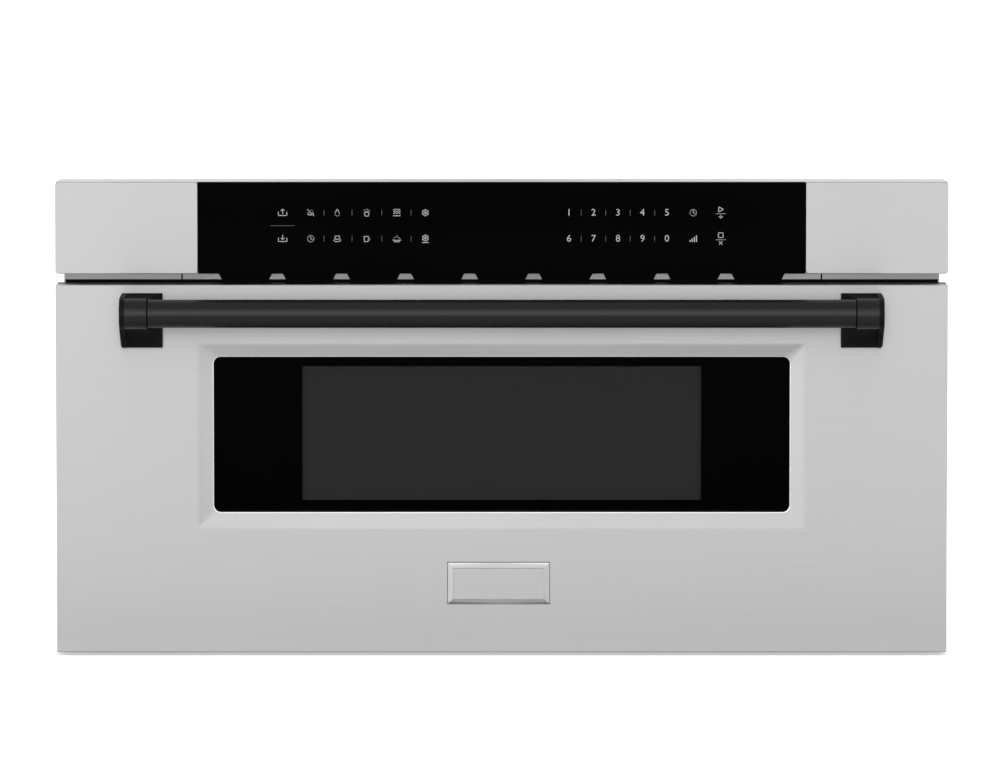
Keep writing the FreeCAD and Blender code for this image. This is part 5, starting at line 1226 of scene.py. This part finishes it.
def studio_world(fill, mirror, zenith):
    """White surroundings for the eye, plain fill light, and reflections that fall off overhead."""
    world = bpy.data.worlds.new("Studio")
    bpy.context.scene.world = world
    world.use_nodes = True
    tree = world.node_tree
    back = tree.nodes["Background"]
    back.inputs["Color"].default_value = (1.0, 1.0, 1.0, 1)
    path = add(tree, "LightPath").outputs
    seen = math_node(tree, "MAXIMUM", path["Is Camera Ray"], path["Is Glossy Ray"])
    seen = math_node(tree, "MAXIMUM", seen, path["Is Transmission Ray"])
    height = split(tree, add(tree, "TexCoord").outputs["Generated"])["Z"]
    fall_start, fall_end = 0.46, 0.8
    reflected = map_range(tree, height, fall_start, fall_end, mirror, zenith, smooth=True)
    level = switched(tree, path["Is Glossy Ray"], 1.0, reflected)
    tree.links.new(switched(tree, seen, fill, level), back.inputs["Strength"])


def studio_floor(colour):
    """Pale floor that shows white and keeps a soft shadow; in reflections only, it carries painted shade
    at the front.
    """
    bm = bmesh.new()
    bmesh.ops.create_grid(bm, x_segments=1, y_segments=1, size=30.0)
    mesh = bpy.data.meshes.new("studio_floor")
    bm.to_mesh(mesh)
    bm.free()
    floor = bpy.data.objects.new("studio_floor", mesh)
    bpy.context.scene.collection.objects.link(floor)
    material, tree, shader, place = start_material("Floor Paper", roughness=0.9,
                                                   Emission_Color=(1, 1, 1, 1))
    place, path = split(tree, place), add(tree, "LightPath").outputs
    shown, far, near, strip, clear = 0.5, -2.4, 0.6, 0.38, 0.55
    tree.links.new(switched(tree, path["Is Camera Ray"], 0.0, shown), shader.inputs["Emission Strength"])
    # Painted shade seen only in reflections: bands that darken towards the drawer's foot, only in front of
    # the drawer.
    ramp = add(tree, "ValToRGB", {0: map_range(tree, place["Y"], far, near, 0.0, 1.0)})
    stops = ramp.color_ramp.elements
    for stop in stops:
        stop.color = (1, 1, 1, 1)
    for share, tone in FLOOR_REFLECTION_SHADE:
        stops.new(share).color = (tone, tone, tone, 1)
    across = math_node(tree, "ABSOLUTE", place["X"])
    beside = map_range(tree, across, strip, clear, 0.0, 1.0, smooth=True)
    tone = math_node(tree, "MAXIMUM", ramp.outputs["Color"], beside)
    tree.links.new(shaded(tree, opaque(colour), switched(tree, path["Is Glossy Ray"], 1.0, tone)),
                   shader.inputs["Base Color"])
    mesh.materials.append(material)


class DRAWER_OT_stage(bpy.types.Operator):
    """Makes the floor, the lamps and the camera"""

    bl_idname = "drawer.stage"
    bl_label = "Make Studio"

    def execute(self, context):
        """Sets the view of the photograph and soft light from the front and above."""
        scene, stage = context.scene, context.scene.drawer_stage
        scene.view_settings.view_transform = "Standard"
        studio_floor(stage.floor)
        studio_world(fill=0.72, mirror=1.1, zenith=0.42)
        for lamp in SOFT_LAMPS:
            soft_lamp(*lamp)
        data = bpy.data.cameras.new("Camera")
        data.sensor_width = SENSOR_WIDTH
        data.lens = SENSOR_WIDTH * stage.distance / stage.scale
        data.clip_end = 100.0
        camera = bpy.data.objects.new("Camera", data)
        look = Vector((0.0, math.cos(stage.tilt), -math.sin(stage.tilt)))
        camera.location = Vector((stage.aim[0], SKIN_LOW.y, stage.aim[1])) - look * stage.distance
        camera.rotation_euler = look.to_track_quat("-Z", "Y").to_euler()
        scene.collection.objects.link(camera)
        scene.camera = camera
        return {"FINISHED"}


# ---- Sidebar ---------------------------------------------------------------------------------

STEPS = ("finishes", "chassis", "tub", "skin", "caps", "window", "handle", "plate", "marks", "edges",
         "vents", "screws", "stage")


class DRAWER_PT_sidebar(bpy.types.Panel):
    """Lists the steps and their sizes."""

    bl_idname = "DRAWER_PT_sidebar"
    bl_label = "Microwave Drawer"
    bl_space_type = "VIEW_3D"
    bl_region_type = "UI"
    bl_category = "Drawer"

    def draw(self, context):
        """Draws the settings and a button for each step."""
        layout = self.layout
        for group in (context.scene.drawer_finish, context.scene.drawer_trim, context.scene.drawer_stage):
            box = layout.box()
            for name in group.bl_rna.properties.keys():
                if name not in ("rna_type", "name"):
                    box.prop(group, name)
        for step in STEPS:
            layout.operator("drawer." + step)


SETTINGS = {"drawer_finish": DrawerFinish, "drawer_trim": DrawerTrim, "drawer_stage": DrawerStage}
CLASSES = (DrawerFinish, DrawerTrim, DrawerStage, DRAWER_OT_finishes, DRAWER_OT_chassis, DRAWER_OT_tub,
           DRAWER_OT_skin, DRAWER_OT_caps, DRAWER_OT_window, DRAWER_OT_handle, DRAWER_OT_plate,
           DRAWER_OT_marks, DRAWER_OT_edges, DRAWER_OT_vents, DRAWER_OT_screws, DRAWER_OT_stage,
           DRAWER_PT_sidebar)


def register():
    """Registers the classes and hangs the settings on the scene."""
    for item in CLASSES:
        bpy.utils.register_class(item)
    for name, group in SETTINGS.items():
        setattr(bpy.types.Scene, name, PointerProperty(type=group))


def unregister():
    """Takes the settings and classes away again."""
    for name in SETTINGS:
        delattr(bpy.types.Scene, name)
    for item in reversed(CLASSES):
        bpy.utils.unregister_class(item)


def main():
    """Runs every step in order."""
    register()
    for step in STEPS:
        getattr(bpy.ops.drawer, step)()


if __name__ == "__main__":
    main()
